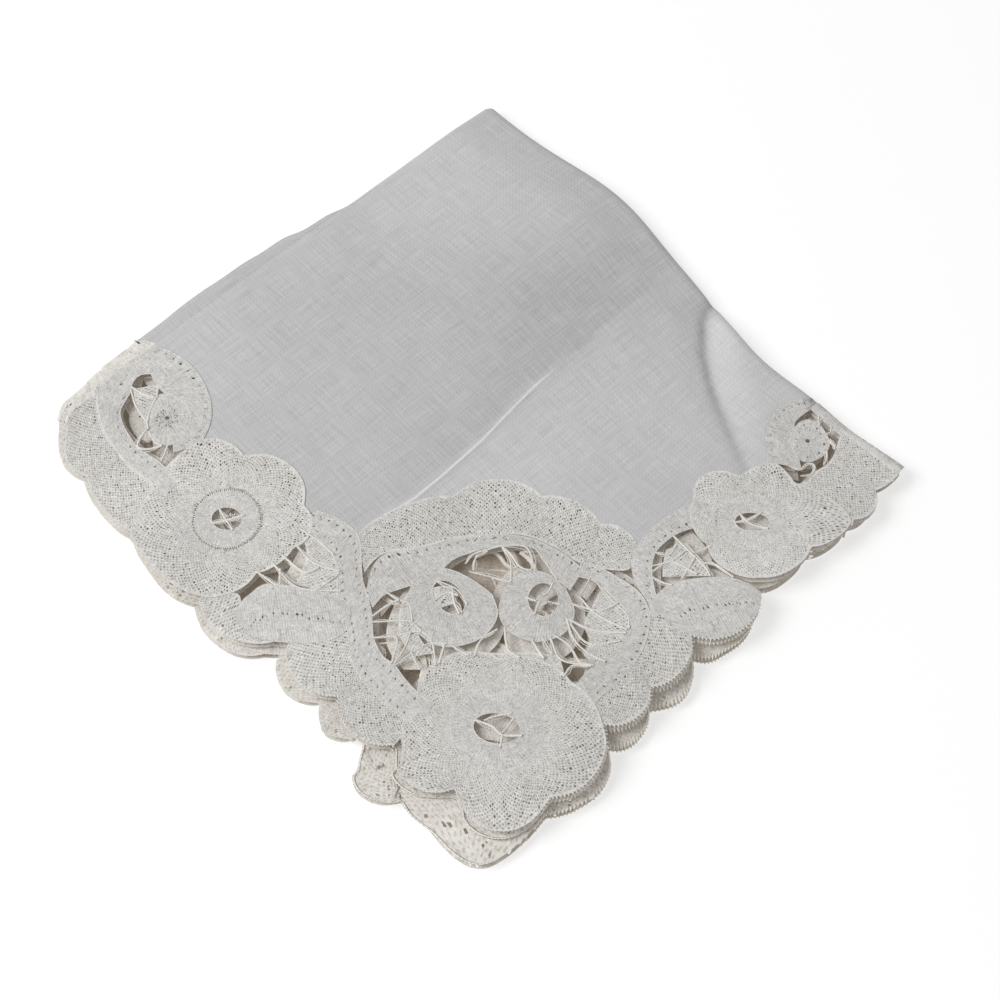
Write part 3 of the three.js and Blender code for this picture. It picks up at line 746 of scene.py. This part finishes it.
def rings(work):
    """The two rings next to the folds, each a close disc in a band that runs up to the seam."""
    tape(work, RING_TAPE_OUTER, RING_TAPE_INNER, 0.17, rows=(), far_rows=(1.4,))
    top = curved([(18.6, 136.2), (20.6, 137.6), (23.0, 137.9), (25.6, 136.2)])
    stitches(work, top, np.array([(18.0, END_Y), (26.4, END_Y)]), CLOTHWORK, 0.14)
    ground(work, curved([(19.3, 136.2), (17.0, 132.6), (16.0, 127.2)]),
           curved([(24.6, 133.4), (22.0, 131.0), (18.2, 129.4), (15.7, 126.6)]), lift=0.12)
    inner = np.concatenate([[(24.8, END_Y)], curved([
        (24.8, 141.0), (25.2, 137.6), (24.4, 134.0), (24.0, 131.0), (25.2, 128.4), (25.8, 124.0),
        (23.7, 120.9), (21.0, 119.2), (16.8, 118.6),
    ])])
    outer = np.concatenate([
        stretch(SEAM, (30.5, END_Y), (22.8, 114.6)), curved([(22.0, 114.6), (18.4, 115.4), (15.4, 116.6)]),
    ])
    stitches(work, inner, outer, CLOTHWORK, lift=0.19, dome=0.06, holes=pinholes((), (1.4,), 0.4))
    cord(work, inner, 0.09, 0.19)
    disc(work, (20.2, 124.9), [
        (26.2, 125.0), (25.0, 129.4), (22.0, 131.4), (18.2, 129.8), (15.2, 127.0), (14.2, 122.4),
        (15.4, 119.0), (19.6, 118.4), (24.0, 120.6), (26.2, 125.0),
    ], 0.21, lambda near, far, column: 0.5 if near < 2.2 and chance.random() < 0.5 else 0)

    inner = np.concatenate([curved([
        (121.8, 14.2), (124.6, 17.6), (126.8, 20.6), (128.8, 22.6), (131.0, 24.2), (135.4, 24.2),
    ]), [(END_X, 24.0)]])
    outer = stretch(SEAM, (118.3, 19.2), (END_X, 27.5))
    stitches(work, inner, outer, CLOTHWORK, lift=0.19, dome=0.06, holes=pinholes((), (1.4,), 0.4))
    disc(work, (129.0, 18.6), [
        (134.9, 19.9), (133.4, 22.8), (130.0, 23.2), (126.4, 21.6), (123.8, 17.9), (124.4, 14.6),
        (128.8, 13.4), (132.8, 15.0), (134.9, 19.9),
    ], 0.22, pinholes((), (1.3,), 0.4))
    by_fold = np.array([(END_X, 24.4), (END_X, 15.0)])
    stitches(work, np.array([(136.2, 24.4), (136.0, 14.0)]), by_fold, CLOTHWORK, 0.12)


def coil_webs(work):
    """Little pale webs that split the coils' holes."""
    stitches(work, np.array([(35.6, 49.6), (33.6, 45.0)]), np.array([(37.8, 48.4), (34.8, 44.2)]), NET, 0.15)
    stitches(work, np.array([(37.8, 48.4), (34.6, 44.4)]), np.array([(39.8, 46.4), (38.0, 42.8)]), NET, 0.15,
             holes=net(0.5, 0.2, 0.3))
    knot = (52.3, 30.1)
    hole, rim = round_middle(knot, (0.5, 0.5, 0)), round_middle(knot, (3.2, 3.0, 0))
    stitches(work, hole, rim, CLOTHWORK, 0.2, closed=True)


# Thread bars across the open grounds: each is a line of points in the plan
BARS = [
    # over the coils
    [(45.9, 48.6), (49.0, 49.3), (52.1, 48.1), (55.3, 46.5)], [(46.0, 46.0), (49.0, 48.3), (51.9, 47.6)],
    [(55.1, 46.3), (55.4, 43.4), (54.7, 40.0), (55.9, 37.5), (57.9, 39.0), (59.3, 42.1), (58.0, 44.3),
     (55.1, 46.3)],
    [(60.6, 40.6), (59.8, 36.6), (58.7, 31.6)], [(45.2, 46.6), (48.2, 42.0), (50.4, 38.2)],
    [(55.1, 46.3), (54.4, 42.9), (52.7, 40.5), (50.4, 38.2)],
    # left coil's hole
    [(38.0, 50.2), (39.3, 47.6), (40.2, 44.7), (39.2, 40.6)], [(34.4, 46.4), (38.0, 46.1), (39.2, 43.7)],
    [(34.0, 44.2), (37.3, 42.8), (36.9, 39.8)], [(38.9, 45.2), (37.3, 42.8), (36.3, 40.0)],
    # right coil's hole
    [(57.4, 31.6), (54.8, 30.6), (53.2, 30.8)], [(48.6, 28.4), (50.3, 29.6), (51.6, 30.0)],
    [(50.2, 33.6), (51.3, 30.8)], [(54.8, 26.6), (53.2, 29.0)],
    # the crescent left of the left coil
    [(27.8, 55.4), (28.7, 52.0), (29.7, 49.8), (27.4, 46.0)], [(20.4, 51.9), (24.6, 48.6), (27.3, 45.8)],
    [(18.0, 48.7), (21.8, 46.0), (25.2, 44.1), (27.0, 42.6)], [(16.8, 40.4), (21.8, 42.2), (25.2, 44.1)],
    [(27.1, 44.3), (27.1, 39.2), (23.7, 34.0)], [(21.4, 52.9), (25.4, 52.8), (28.7, 52.0)],
    [(16.8, 41.1), (21.5, 44.4), (21.8, 46.0)], [(16.8, 40.2), (22.7, 40.0), (26.5, 39.1), (29.0, 36.4)],
    # under the coils
    [(29.6, 35.6), (30.8, 30.9)], [(31.6, 29.8), (35.6, 32.0), (39.9, 31.4)],
    [(41.4, 30.6), (38.4, 26.2), (38.8, 22.8)],
    [(46.0, 23.2), (44.7, 18.4)], [(43.7, 24.0), (42.6, 18.9)], [(28.6, 36.6), (24.5, 33.8)],
    [(22.0, 40.4), (20.4, 35.6)],
    # right of the right coil
    [(53.4, 23.0), (51.1, 18.5), (50.7, 13.7), (51.9, 9.0)], [(53.4, 22.6), (55.8, 16.7), (60.4, 11.2)],
    [(59.3, 24.8), (59.1, 19.5), (61.2, 11.6)], [(64.4, 26.8), (58.6, 24.8)],
    [(64.7, 24.7), (64.3, 19.3), (64.1, 14.5), (61.8, 11.4)],
    [(48.2, 22.1), (49.1, 17.7), (47.8, 12.5), (49.3, 10.2)],
    [(47.3, 22.0), (45.3, 16.1), (49.3, 10.4)], [(53.0, 21.4), (52.6, 15.1), (58.0, 10.6)],
    [(56.8, 24.6), (60.4, 19.4), (64.6, 18.0)], [(42.4, 12.6), (46.0, 13.4), (48.8, 10.4)],
    # flower middles
    [(13.8, 97.9), (13.1, 94.3), (12.5, 91.2)], [(9.4, 96.2), (13.1, 94.3), (17.0, 92.5)],
    [(21.0, 18.3), (22.8, 14.6), (23.0, 11.4), (25.9, 8.2)], [(22.4, 16.7), (25.2, 15.8), (28.0, 13.9)],
    [(23.0, 11.4), (20.4, 9.4)], [(23.2, 11.7), (27.4, 12.6)],
    [(102.0, 15.6), (101.8, 11.9), (103.4, 8.2)], [(98.8, 15.2), (101.9, 13.1), (105.8, 12.3)],
    # under the left flower
    [(20.6, 78.0), (20.7, 72.4), (23.6, 66.6)], [(24.0, 81.4), (25.2, 75.8), (25.4, 70.8)],
    [(13.8, 78.8), (13.5, 71.9), (15.3, 68.0), (20.4, 62.6)],
    [(9.6, 79.6), (10.4, 75.7), (11.3, 73.4), (14.0, 76.2)],
    [(16.4, 66.4), (23.0, 66.3)], [(16.6, 78.6), (17.6, 72.0), (20.6, 70.6)],
    # beside the right leaf
    [(86.4, 21.8), (86.3, 17.0), (85.8, 11.4), (84.6, 8.4)], [(75.2, 17.3), (76.1, 14.5), (76.9, 12.9)],
    [(80.2, 21.6), (82.2, 19.0), (85.8, 19.9)], [(77.2, 19.5), (81.3, 17.5), (85.6, 17.2)],
    [(76.2, 18.4), (81.3, 17.5), (83.0, 11.0)], [(85.8, 12.1), (87.8, 10.2), (88.0, 4.6)],
    [(86.4, 15.4), (91.0, 14.0)], [(79.4, 12.4), (84.0, 13.8), (86.2, 14.6)],
    # beside the left ring
    [(18.9, 136.6), (17.0, 132.6), (16.0, 127.2), (14.9, 125.4)],
    [(19.3, 137.0), (20.3, 133.6), (21.6, 131.1)],
    [(14.7, 125.6), (11.8, 124.7), (10.2, 123.3), (11.6, 121.3), (14.5, 119.7)],
    [(15.6, 118.9), (11.6, 116.5)],
    [(14.9, 125.0), (13.9, 121.9), (14.7, 119.8)], [(22.4, 131.2), (18.9, 129.5), (16.0, 127.0)],
    # beside the right ring
    [(136.4, 21.6), (135.2, 20.6), (134.6, 19.6)], [(136.2, 17.4), (135.0, 16.6), (133.8, 17.0)],
    [(133.4, 15.4), (132.8, 13.4), (131.8, 12.6)], [(130.2, 13.6), (128.8, 12.4), (126.4, 11.4)],
    [(120.0, 16.6), (121.6, 14.4), (124.2, 14.4), (125.0, 12.8), (122.6, 11.6), (119.9, 12.9)],
]


BEAD_STEP = 1.1
UNEVEN_THREAD = 0.08


def tube(work, line, radius, sides=5, beads=0.0, taper=0.0):
    """A thread along plan points with a lift, swollen and narrowed by beads, thinner at its end by taper."""
    ahead = np.gradient(line, axis=0)
    ahead /= np.linalg.norm(ahead, axis=1)[:, None] + 1e-9
    side = np.stack([-ahead[:, 1], ahead[:, 0], np.zeros(len(line))], axis=1)
    rings = []
    run = 0.0
    for k, (place, across) in enumerate(zip(line, side)):
        run += 0 if k == 0 else float(np.linalg.norm(line[k] - line[k - 1]))
        bead = beads * math.sin(run * 2 * math.pi / BEAD_STEP)
        size = radius * (1 + bead + chance.uniform(-UNEVEN_THREAD, UNEVEN_THREAD))
        size *= 1 - taper * k / (len(line) - 1)
        ring = []
        for turn in np.arange(sides) * 2 * math.pi / sides + math.pi / 2:
            x, y, z = place + size * (across * math.cos(turn) + np.array([0, 0, math.sin(turn)]))
            ring.append(work.point(x, y, z, run, turn * radius))
        rings.append(ring)
    for before, after in zip(rings, rings[1:]):
        for k in range(sides):
            work.face((before[k], before[k - 1], after[k - 1], after[k]))


CORD_STEP = 1.0
BAR_STEP = 0.6
BAR_SAG, BAR_LIFT = 0.3, 0.1
BAR_RADIUS = (0.16, 0.32)
STRAND_RADIUS, STRAND_REACH = 0.09, 0.8
BEADS = 0.12


def thread_work(cords, weight, bar_share, strands, tooth):
    """Outlining threads, thread bars with loose strands beside them, and the toothed edge."""
    work = Work()
    for line, radius, lift in cords:
        line = spaced(line, max(2, round(length(line) / CORD_STEP)))
        tube(work, np.column_stack([line, np.full(len(line), lift)]), radius * weight, sides=4, beads=BEADS)
    for points in BARS:
        if chance.random() > bar_share:
            continue
        line = curved(points)
        line = spaced(line, max(3, round(length(line) / BAR_STEP)))
        arc = np.linspace(0, math.pi, len(line))
        sag = BAR_SAG - BAR_SAG * np.sin(arc)
        tube(work, np.column_stack([line, sag + BAR_LIFT]), chance.uniform(*BAR_RADIUS), sides=6, beads=BEADS)
        for _ in range(strands):
            reach = chance.uniform(-STRAND_REACH, STRAND_REACH)
            aside = reach * np.sin(arc * chance.choice((1, 1, 2)))
            way = np.gradient(line, axis=0)
            off = np.stack([-way[:, 1], way[:, 0]], axis=1) / np.hypot(*way.T)[:, None]
            tube(work, np.column_stack([line + off * aside[:, None], sag]), STRAND_RADIUS, sides=4)
    toothed_edge(work, tooth)
    return work


TOOTH_STEP = 0.9
TOP_TOOTH, LOWER_TOOTH = 0.6, 0.34
TOOTH_BASE, TOOTH_TAPER, TOOTH_LIFT = 0.3, 0.72, 0.16
LEAST_TOOTH = 0.16


def toothed_edge(work, tooth):
    """Little points of thread along the free edge, long at the corner and none near the folds."""
    line = spaced(EDGE, round(length(EDGE) / TOOTH_STEP))
    ahead = np.gradient(line, axis=0)
    ahead /= np.hypot(*ahead.T)[:, None]
    for place, way in zip(line[1:-1], ahead[1:-1]):
        out = np.array([-way[1], way[0]])
        if place[1] < 8:
            share = smooth(96, 78, place[0]) * (0.4 + 0.6 * smooth(12, 24, place[0]))
        else:
            share = 0.4 * smooth(72, 56, place[1])
        reach = tooth * chance.uniform(0.6, 1.1) * float(share)
        if reach < LEAST_TOOTH:
            continue
        tip = out + way * chance.uniform(-0.2, 0.2)
        point = np.array([place - out * 0.1, place + tip * reach * 0.55, place + tip * reach])
        tube(work, np.column_stack([point, np.full(3, TOOTH_LIFT)]), TOOTH_BASE, sides=5, taper=TOOTH_TAPER)


# The lawn
LAWN_STEP = 1.05
LAWN_START = (22, 18)  # the least x and y that the lawn reaches
LAWN_MARGIN = 0.4
UNDER_LACE = 1.3
# Distances beside the crease and the groove at which the lawn has lines of points
CREASE_LINES = (-1.4, -0.9, -0.5, -0.22, 0.0, 0.22, 0.5, 0.9, 1.4)
GROOVE_LINES = (-1.2, -0.4, 0.4, 1.2)
SAME_SPOT = 1e-4  # points nearer than this are one


def lawn_work():
    """The plain middle of the cloth, cut along the seam and turned under the lace."""
    work = Work()
    outline = spaced(SEAM, round(length(SEAM) / LAWN_STEP))
    ahead = np.gradient(outline, axis=0)
    outline += UNDER_LACE * np.stack([ahead[:, 1], -ahead[:, 0]], axis=1) / np.hypot(*ahead.T)[:, None]
    outline[0, 1], outline[-1, 0] = END_Y, END_X
    outline = np.concatenate([
        outline,
        [(END_X, y) for y in np.arange(outline[-1][1] + LAWN_STEP, END_Y - LAWN_STEP / 2, LAWN_STEP)],
        [(x, END_Y) for x in np.arange(END_X, outline[0][0] + LAWN_STEP / 2, -LAWN_STEP)],
    ])
    inside = [
        (x, y)
        for x in np.arange(LAWN_START[0], END_X - LAWN_MARGIN, LAWN_STEP)
        for y in np.arange(LAWN_START[1], END_Y - LAWN_MARGIN, LAWN_STEP)
    ]
    for line, offsets in ((CREASE, CREASE_LINES), (GROOVE, GROOVE_LINES)):
        line = curved(line)
        way = np.gradient(line, axis=0)
        left = np.stack([-way[:, 1], way[:, 0]], axis=1) / np.hypot(*way.T)[:, None]
        inside += [tuple(place) for off in offsets for place in line + left * off if place[0] < END_X - 0.5]
    count = len(outline)
    verts = [Vector(p) for p in outline] + [Vector(p) for p in inside]
    edges = [(i, (i + 1) % count) for i in range(count)]
    spots, _, faces, *_ = delaunay_2d_cdt(verts, edges, [], 1, SAME_SPOT)
    used = sorted({corner for face in faces for corner in face})
    number = {corner: work.point(*spots[corner], 0.0, *spots[corner]) for corner in used}
    for face in faces:
        work.face([number[corner] for corner in face])
    return work


# Finishes
def linked(tree, kind, settings=(), **inputs):
    """A shader node with its settings, and each input set to a value or joined to another node's output."""
    node = tree.nodes.new(kind)
    for name, value in dict(settings).items():
        setattr(node, name, value)
    for name, value in inputs.items():
        numbered = name[0] == "i" and name[1:].isdigit()
        socket = node.inputs[int(name[1:]) if numbered else name.replace("_", " ")]
        if isinstance(value, bpy.types.NodeSocket):
            tree.links.new(value, socket)
        else:
            socket.default_value = value
    return node


def math_nodes(tree):
    """Functions that add, subtract, multiply and divide two values or outputs in a node tree."""
    def operation(name):
        return lambda a, b: linked(tree, "ShaderNodeMath", {"operation": name}, i0=a, i1=b).outputs[0]
    return [operation(name) for name in ("ADD", "SUBTRACT", "MULTIPLY", "DIVIDE")]


STREAK_LENGTH = 0.16  # how slowly a thread's thickness changes along it, against across it
SPECK_SCALE, SPECK_FROM, SPECK_TO = 2.1, 0.56, 0.74
WEAVE_SHADE = 0.3
# Inputs of the shared thread group, each with its default
THREADS = {
    "Threads per mm": 2.0, "Crossing": 1.0, "Ridges": 0.5, "Fineness": 2.6, "Slub length": 1.0, "Waver": 0.0,
    "Flecks": 0.0,
}
# Values of those inputs for each kind of cloth
LAWN_THREADS = (2.1, 1.0, 0.5, 2.6, 1.6, 0.0, 0.0)
CLOSE_THREADS = (1.7, 0.3, 0.3, 1.8, 0.35, 0.7, 0.4)
NET_THREADS = (1.9, 0.6, 0.25, 1.8, 0.25, 0.6, 0.15)
TWIST_THREADS = (1.4, 1.0, 0.4, 2.0, 0.4, 0.3, 0.1)


def thread_group():
    """Threads along the work's own two directions, with slubs where they thicken and flecks of shade."""
    group = bpy.data.node_groups.new("threads of the work", "ShaderNodeTree")
    for name, default in THREADS.items():
        socket = group.interface.new_socket(name, in_out="INPUT", socket_type="NodeSocketFloat")
        socket.default_value = default
    for name in ("Height", "Shade"):
        group.interface.new_socket(name, in_out="OUTPUT", socket_type="NodeSocketFloat")
    add, less, times, over = math_nodes(group)
    given = group.nodes.new("NodeGroupInput").outputs
    way = linked(group, "ShaderNodeUVMap", {"uv_map": "threads"}).outputs[0]
    parts = linked(group, "ShaderNodeSeparateXYZ", i0=way).outputs
    ridges, streaks = [], []
    for own, other in ((0, 1), (1, 0)):
        angle = times(times(parts[own], given["Threads per mm"]), 2 * math.pi)
        ridges.append(linked(group, "ShaderNodeMath", {"operation": "SINE"}, i0=angle).outputs[0])
        fine = times(parts[own], given["Fineness"])
        run = over(times(parts[other], STREAK_LENGTH), given["Slub length"])
        place = linked(group, "ShaderNodeCombineXYZ", i0=fine, i1=run, i2=float(own * 7)).outputs[0]
        streaks.append(linked(group, "ShaderNodeTexNoise", i0=place, Scale=1.0, Detail=3.0, Roughness=0.65,
                              Distortion=given["Waver"]).outputs[0])
    crossed = less(1.0, times(given["Crossing"], less(1.0, ridges[1])))
    weave = times(times(ridges[0], crossed), given["Ridges"])
    slub = add(streaks[0], streaks[1])
    speck = linked(group, "ShaderNodeTexNoise", i0=way, Scale=SPECK_SCALE, Detail=1.0, Roughness=0.5)
    dark = linked(group, "ShaderNodeMapRange", i0=speck.outputs[0], From_Min=SPECK_FROM, From_Max=SPECK_TO)
    fleck = times(dark.outputs[0], given["Flecks"])
    out = group.nodes.new("NodeGroupOutput")
    height = less(add(weave, slub), fleck)
    shade = add(times(weave, WEAVE_SHADE), less(slub, 0.5))
    group.links.new(height, out.inputs["Height"])
    group.links.new(less(shade, fleck), out.inputs["Shade"])
    return group


PATCH_SCALE, PATCH_SHADE = 38.0, 0.4  # soft patches of shade
THREAD_HEIGHT = 0.00015
GLOW_COLOUR = (1.0, 0.82, 0.64, 1)  # colour of the painted glow that stands in for light through the open work, warmed by its threads
SKIN = {"Roughness": 0.88, "Sheen Weight": 0.08, "Sheen Roughness": 0.6, "Specular IOR Level": 0.2}


def cloth_finish(threads, name, dark, light, bump, values, through=0.0, with_painted_lighting=False):
    """A thread-built cloth whose colour and surface follow its threads, with painted light and shade added
    where it has any.
    """
    material = bpy.data.materials.new(name)
    material.use_nodes = True
    tree = material.node_tree
    tree.nodes.clear()
    add, less, times, _ = math_nodes(tree)
    work = linked(tree, "ShaderNodeGroup", {"node_tree": threads}, **dict(zip(THREADS, values)))
    spot = linked(tree, "ShaderNodeTexCoord").outputs["Object"]
    patch = linked(tree, "ShaderNodeTexNoise", i0=spot, Scale=PATCH_SCALE, Detail=3.0, Roughness=0.5)
    wash = times(less(patch.outputs[0], 0.5), PATCH_SHADE)
    shade = add(work.outputs["Shade"], wash)
    # painted light and shade from the UV map, added to the colour
    if with_painted_lighting:
        painted_lighting = linked(tree, "ShaderNodeUVMap", {"uv_map": "painted_lighting"}).outputs[0]
        pale = linked(tree, "ShaderNodeSeparateXYZ", i0=painted_lighting).outputs[0]
        shade = add(times(add(shade, 0.5), 0.5), pale)
    ramp = linked(tree, "ShaderNodeValToRGB", i0=shade)
    for position, (element, colour) in enumerate(zip(ramp.color_ramp.elements, (dark, light))):
        element.position, element.color = position, (*colour, 1)
    height = work.outputs["Height"]
    raised = linked(tree, "ShaderNodeBump", Strength=bump, Distance=THREAD_HEIGHT, Height=height)
    skin = linked(tree, "ShaderNodeBsdfPrincipled", Base_Color=ramp.outputs[0], Normal=raised.outputs[0])
    # a painted glow that stands in for light through the thin lace
    skin.inputs["Emission Color"].default_value = GLOW_COLOUR
    skin.inputs["Emission Strength"].default_value = through
    for socket, value in SKIN.items():
        skin.inputs[socket].default_value = value
    linked(tree, "ShaderNodeOutputMaterial", Surface=skin.outputs[0])
    return material


# Strength of the painted glow on the top lace and on the lace below, which stands in for light through the
# thin lace and lightens and warms the shade between the layers
LACE_GLOW, LOWER_LACE_GLOW = 0.02, 0.04
# Paler, warmer copies of the lace colours for the lower layers: painted light standing in for warm light
# bounced within the stack
PAINTED_WARM_LIGHT_CREAM = (0.50, 0.48, 0.445), (0.94, 0.92, 0.88)
# Finishes of the lace by their kinds: name, colour between the threads, colour on them, strength of the
# relief, threads, and strength of the painted glow that stands in for light coming through
LACE_FINISHES = {
    "clothwork": (
        "lace clothwork", (0.38, 0.37, 0.35), (0.86, 0.847, 0.822), 0.7, CLOSE_THREADS, LACE_GLOW),
    "net": (
        "lace net", (0.44, 0.43, 0.407), (0.93, 0.917, 0.887), 0.6, NET_THREADS, LACE_GLOW),
    # dark faces in the net holes: painted shade of the hole
    "between": (
        "fine threads between", (0.22, 0.208, 0.19), (0.54, 0.52, 0.485), 0.5, NET_THREADS, LACE_GLOW),
    "lower clothwork": (
        "lower lace clothwork", *PAINTED_WARM_LIGHT_CREAM, 0.7, CLOSE_THREADS, LOWER_LACE_GLOW),
    "lower net": (
        "lower lace net", *PAINTED_WARM_LIGHT_CREAM, 0.6, NET_THREADS, LOWER_LACE_GLOW),
    # lighter painted shade in the lower layers' net holes
    "lower between": (
        "fine threads between, lower", (0.36, 0.335, 0.30), (0.77, 0.73, 0.67), 0.5, NET_THREADS,
        LOWER_LACE_GLOW),
    # brown finish of the closed backing under the openings: painted shade
    "lowest net in painted shade": (
        "lowest lace net", (0.30, 0.255, 0.21), (0.72, 0.655, 0.57), 0.6, NET_THREADS, LOWER_LACE_GLOW),
    "thread": (
        "lace thread", (0.66, 0.645, 0.61), (0.94, 0.92, 0.88), 0.6, TWIST_THREADS, LACE_GLOW),
    # warmer copy of the thread colours for the lower layers: painted warm light
    "lower thread": (
        "lower lace thread", (0.66, 0.62, 0.56), (0.93, 0.90, 0.84), 0.6, TWIST_THREADS, LOWER_LACE_GLOW),
}
LAWN_FINISH = ("fine lawn", (0.305, 0.305, 0.31), (0.845, 0.845, 0.845), 0.5, LAWN_THREADS)


def finishes():
    """Every cloth's material by its kind."""
    threads = thread_group()
    made = {"lawn": cloth_finish(threads, *LAWN_FINISH, with_painted_lighting=True)}
    for kind, finish in LACE_FINISHES.items():
        made[kind] = cloth_finish(threads, *finish)
    return made


# Table, light and camera
TABLE_SIZE = 4.0
TABLE_DROP = 0.0002  # how far the table lies under the cloth
TABLE_GLOW = 0.56  # light of its own, which keeps its shadows as pale as a light box does


def table_top():
    """A pale, evenly lit table."""
    mesh = bpy.data.meshes.new("table")
    half = TABLE_SIZE / 2
    corners = [(-half, -half, 0), (half, -half, 0), (half, half, 0), (-half, half, 0)]
    mesh.from_pydata(corners, [], [(0, 1, 2, 3)])
    table = bpy.data.objects.new("table", mesh)
    table.location.z = -TABLE_DROP
    bpy.context.scene.collection.objects.link(table)
    material = bpy.data.materials.new("pale table")
    material.use_nodes = True
    skin = material.node_tree.nodes["Principled BSDF"]
    skin.inputs["Base Color"].default_value = (0.5, 0.5, 0.5, 1)
    skin.inputs["Roughness"].default_value = 0.9
    skin.inputs["Emission Color"].default_value = (1, 1, 1, 1)
    skin.inputs["Emission Strength"].default_value = TABLE_GLOW
    mesh.materials.append(material)


LAMP_WAY, LAMP_DISTANCE = (-0.7, 0.4, 1.0), 1.2
LAMP_ENERGY, LAMP_SIZE = 9.0, 0.6
ROOM_LIGHT = 0.46


def soft_light():
    """A large square lamp in a direction from the cloth, turned to it."""
    lamp = bpy.data.lights.new("window", "AREA")
    lamp.energy, lamp.size = LAMP_ENERGY, LAMP_SIZE
    holder = bpy.data.objects.new("window", lamp)
    way = Vector(LAMP_WAY).normalized()
    holder.location = way * LAMP_DISTANCE
    holder.rotation_euler = way.to_track_quat("Z", "Y").to_euler()
    bpy.context.scene.collection.objects.link(holder)


def lighting():
    """A white room with one soft lamp."""
    world = bpy.data.worlds.new("room")
    world.use_nodes = True
    world.node_tree.nodes["Background"].inputs["Color"].default_value = (1, 1, 1, 1)
    world.node_tree.nodes["Background"].inputs["Strength"].default_value = ROOM_LIGHT
    bpy.context.scene.world = world
    soft_light()
    bpy.context.scene.view_settings.view_transform = "Standard"
    bpy.context.scene.view_settings.look = "None"


# The camera stands at the photograph's viewing angle
AZIMUTH = -42.588
ELEVATION = 60.973
CAMERA_DISTANCE = 0.556758
TARGET = (-0.004175, -0.01196, 0.003)
LENS, SENSOR = 86.4, 36.0


def camera():
    """The camera, which looks down across the lace corner."""
    a, e = math.radians(AZIMUTH), math.radians(ELEVATION)
    back = Vector((math.sin(a) * math.cos(e), -math.cos(a) * math.cos(e), math.sin(e)))
    lens = bpy.data.cameras.new("camera")
    lens.lens, lens.sensor_width = LENS, SENSOR
    lens.clip_start, lens.clip_end = 0.01, 20
    holder = bpy.data.objects.new("camera", lens)
    holder.location = Vector(TARGET) + back * CAMERA_DISTANCE
    holder.rotation_euler = back.to_track_quat("Z", "Y").to_euler()
    bpy.context.scene.collection.objects.link(holder)
    bpy.context.scene.camera = holder


# The whole handkerchief
LACE_KINDS = ("clothwork", "net", "between")  # in the order of the kinds of face


def lace_work(grain):
    """All the lace of one quarter."""
    work = Work(grain)
    for pieces in (nets, flowers, coils, tapes, rings, coil_webs, webs):
        pieces(work)
    return work


def handkerchief():
    finish = finishes()
    lawn = folded("lawn_cloth", lawn_work(), [finish["lawn"]], ALL, painted_light_and_shade)
    top = lace_work(FINE)
    lace = folded("lace_border", top, [finish[kind] for kind in LACE_KINDS], TOP)
    lower_warm_lit_finish = [finish["lower " + kind] for kind in LACE_KINDS]
    below = lace_work(PLAIN)
    lower = folded("lower_lace", below, lower_warm_lit_finish, MIDDLE)
    lowest = folded("lowest_lace", lace_work(UNDER), lower_warm_lit_finish, LOWEST)
    # closed nets under the openings, in a brown finish of painted shade
    painted_shade_nets = Work(PLAIN)
    painted_shade_backing(painted_shade_nets)
    lowest_net_painted_shade = folded("lowest_net_painted_shade", painted_shade_nets, [finish["lowest net in painted shade"]] * 3, LOWEST)
    top_threads = thread_work(top.cords, weight=1.0, bar_share=1.0, strands=3, tooth=TOP_TOOTH)
    threads = folded("lace_threads", top_threads, [finish["thread"]], TOP)
    threads_below = thread_work(below.cords, weight=0.6, bar_share=0.25, strands=1, tooth=LOWER_TOOTH)
    lower_threads = folded("lower_lace_threads", threads_below, [finish["lower thread"]], LOWER)
    for piece in (lawn, lace, lower, lowest, lowest_net_painted_shade, threads, lower_threads):
        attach(piece, "root")
    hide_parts("lawn")
    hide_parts("lace")


camera()
table_top()
lighting()
handkerchief()
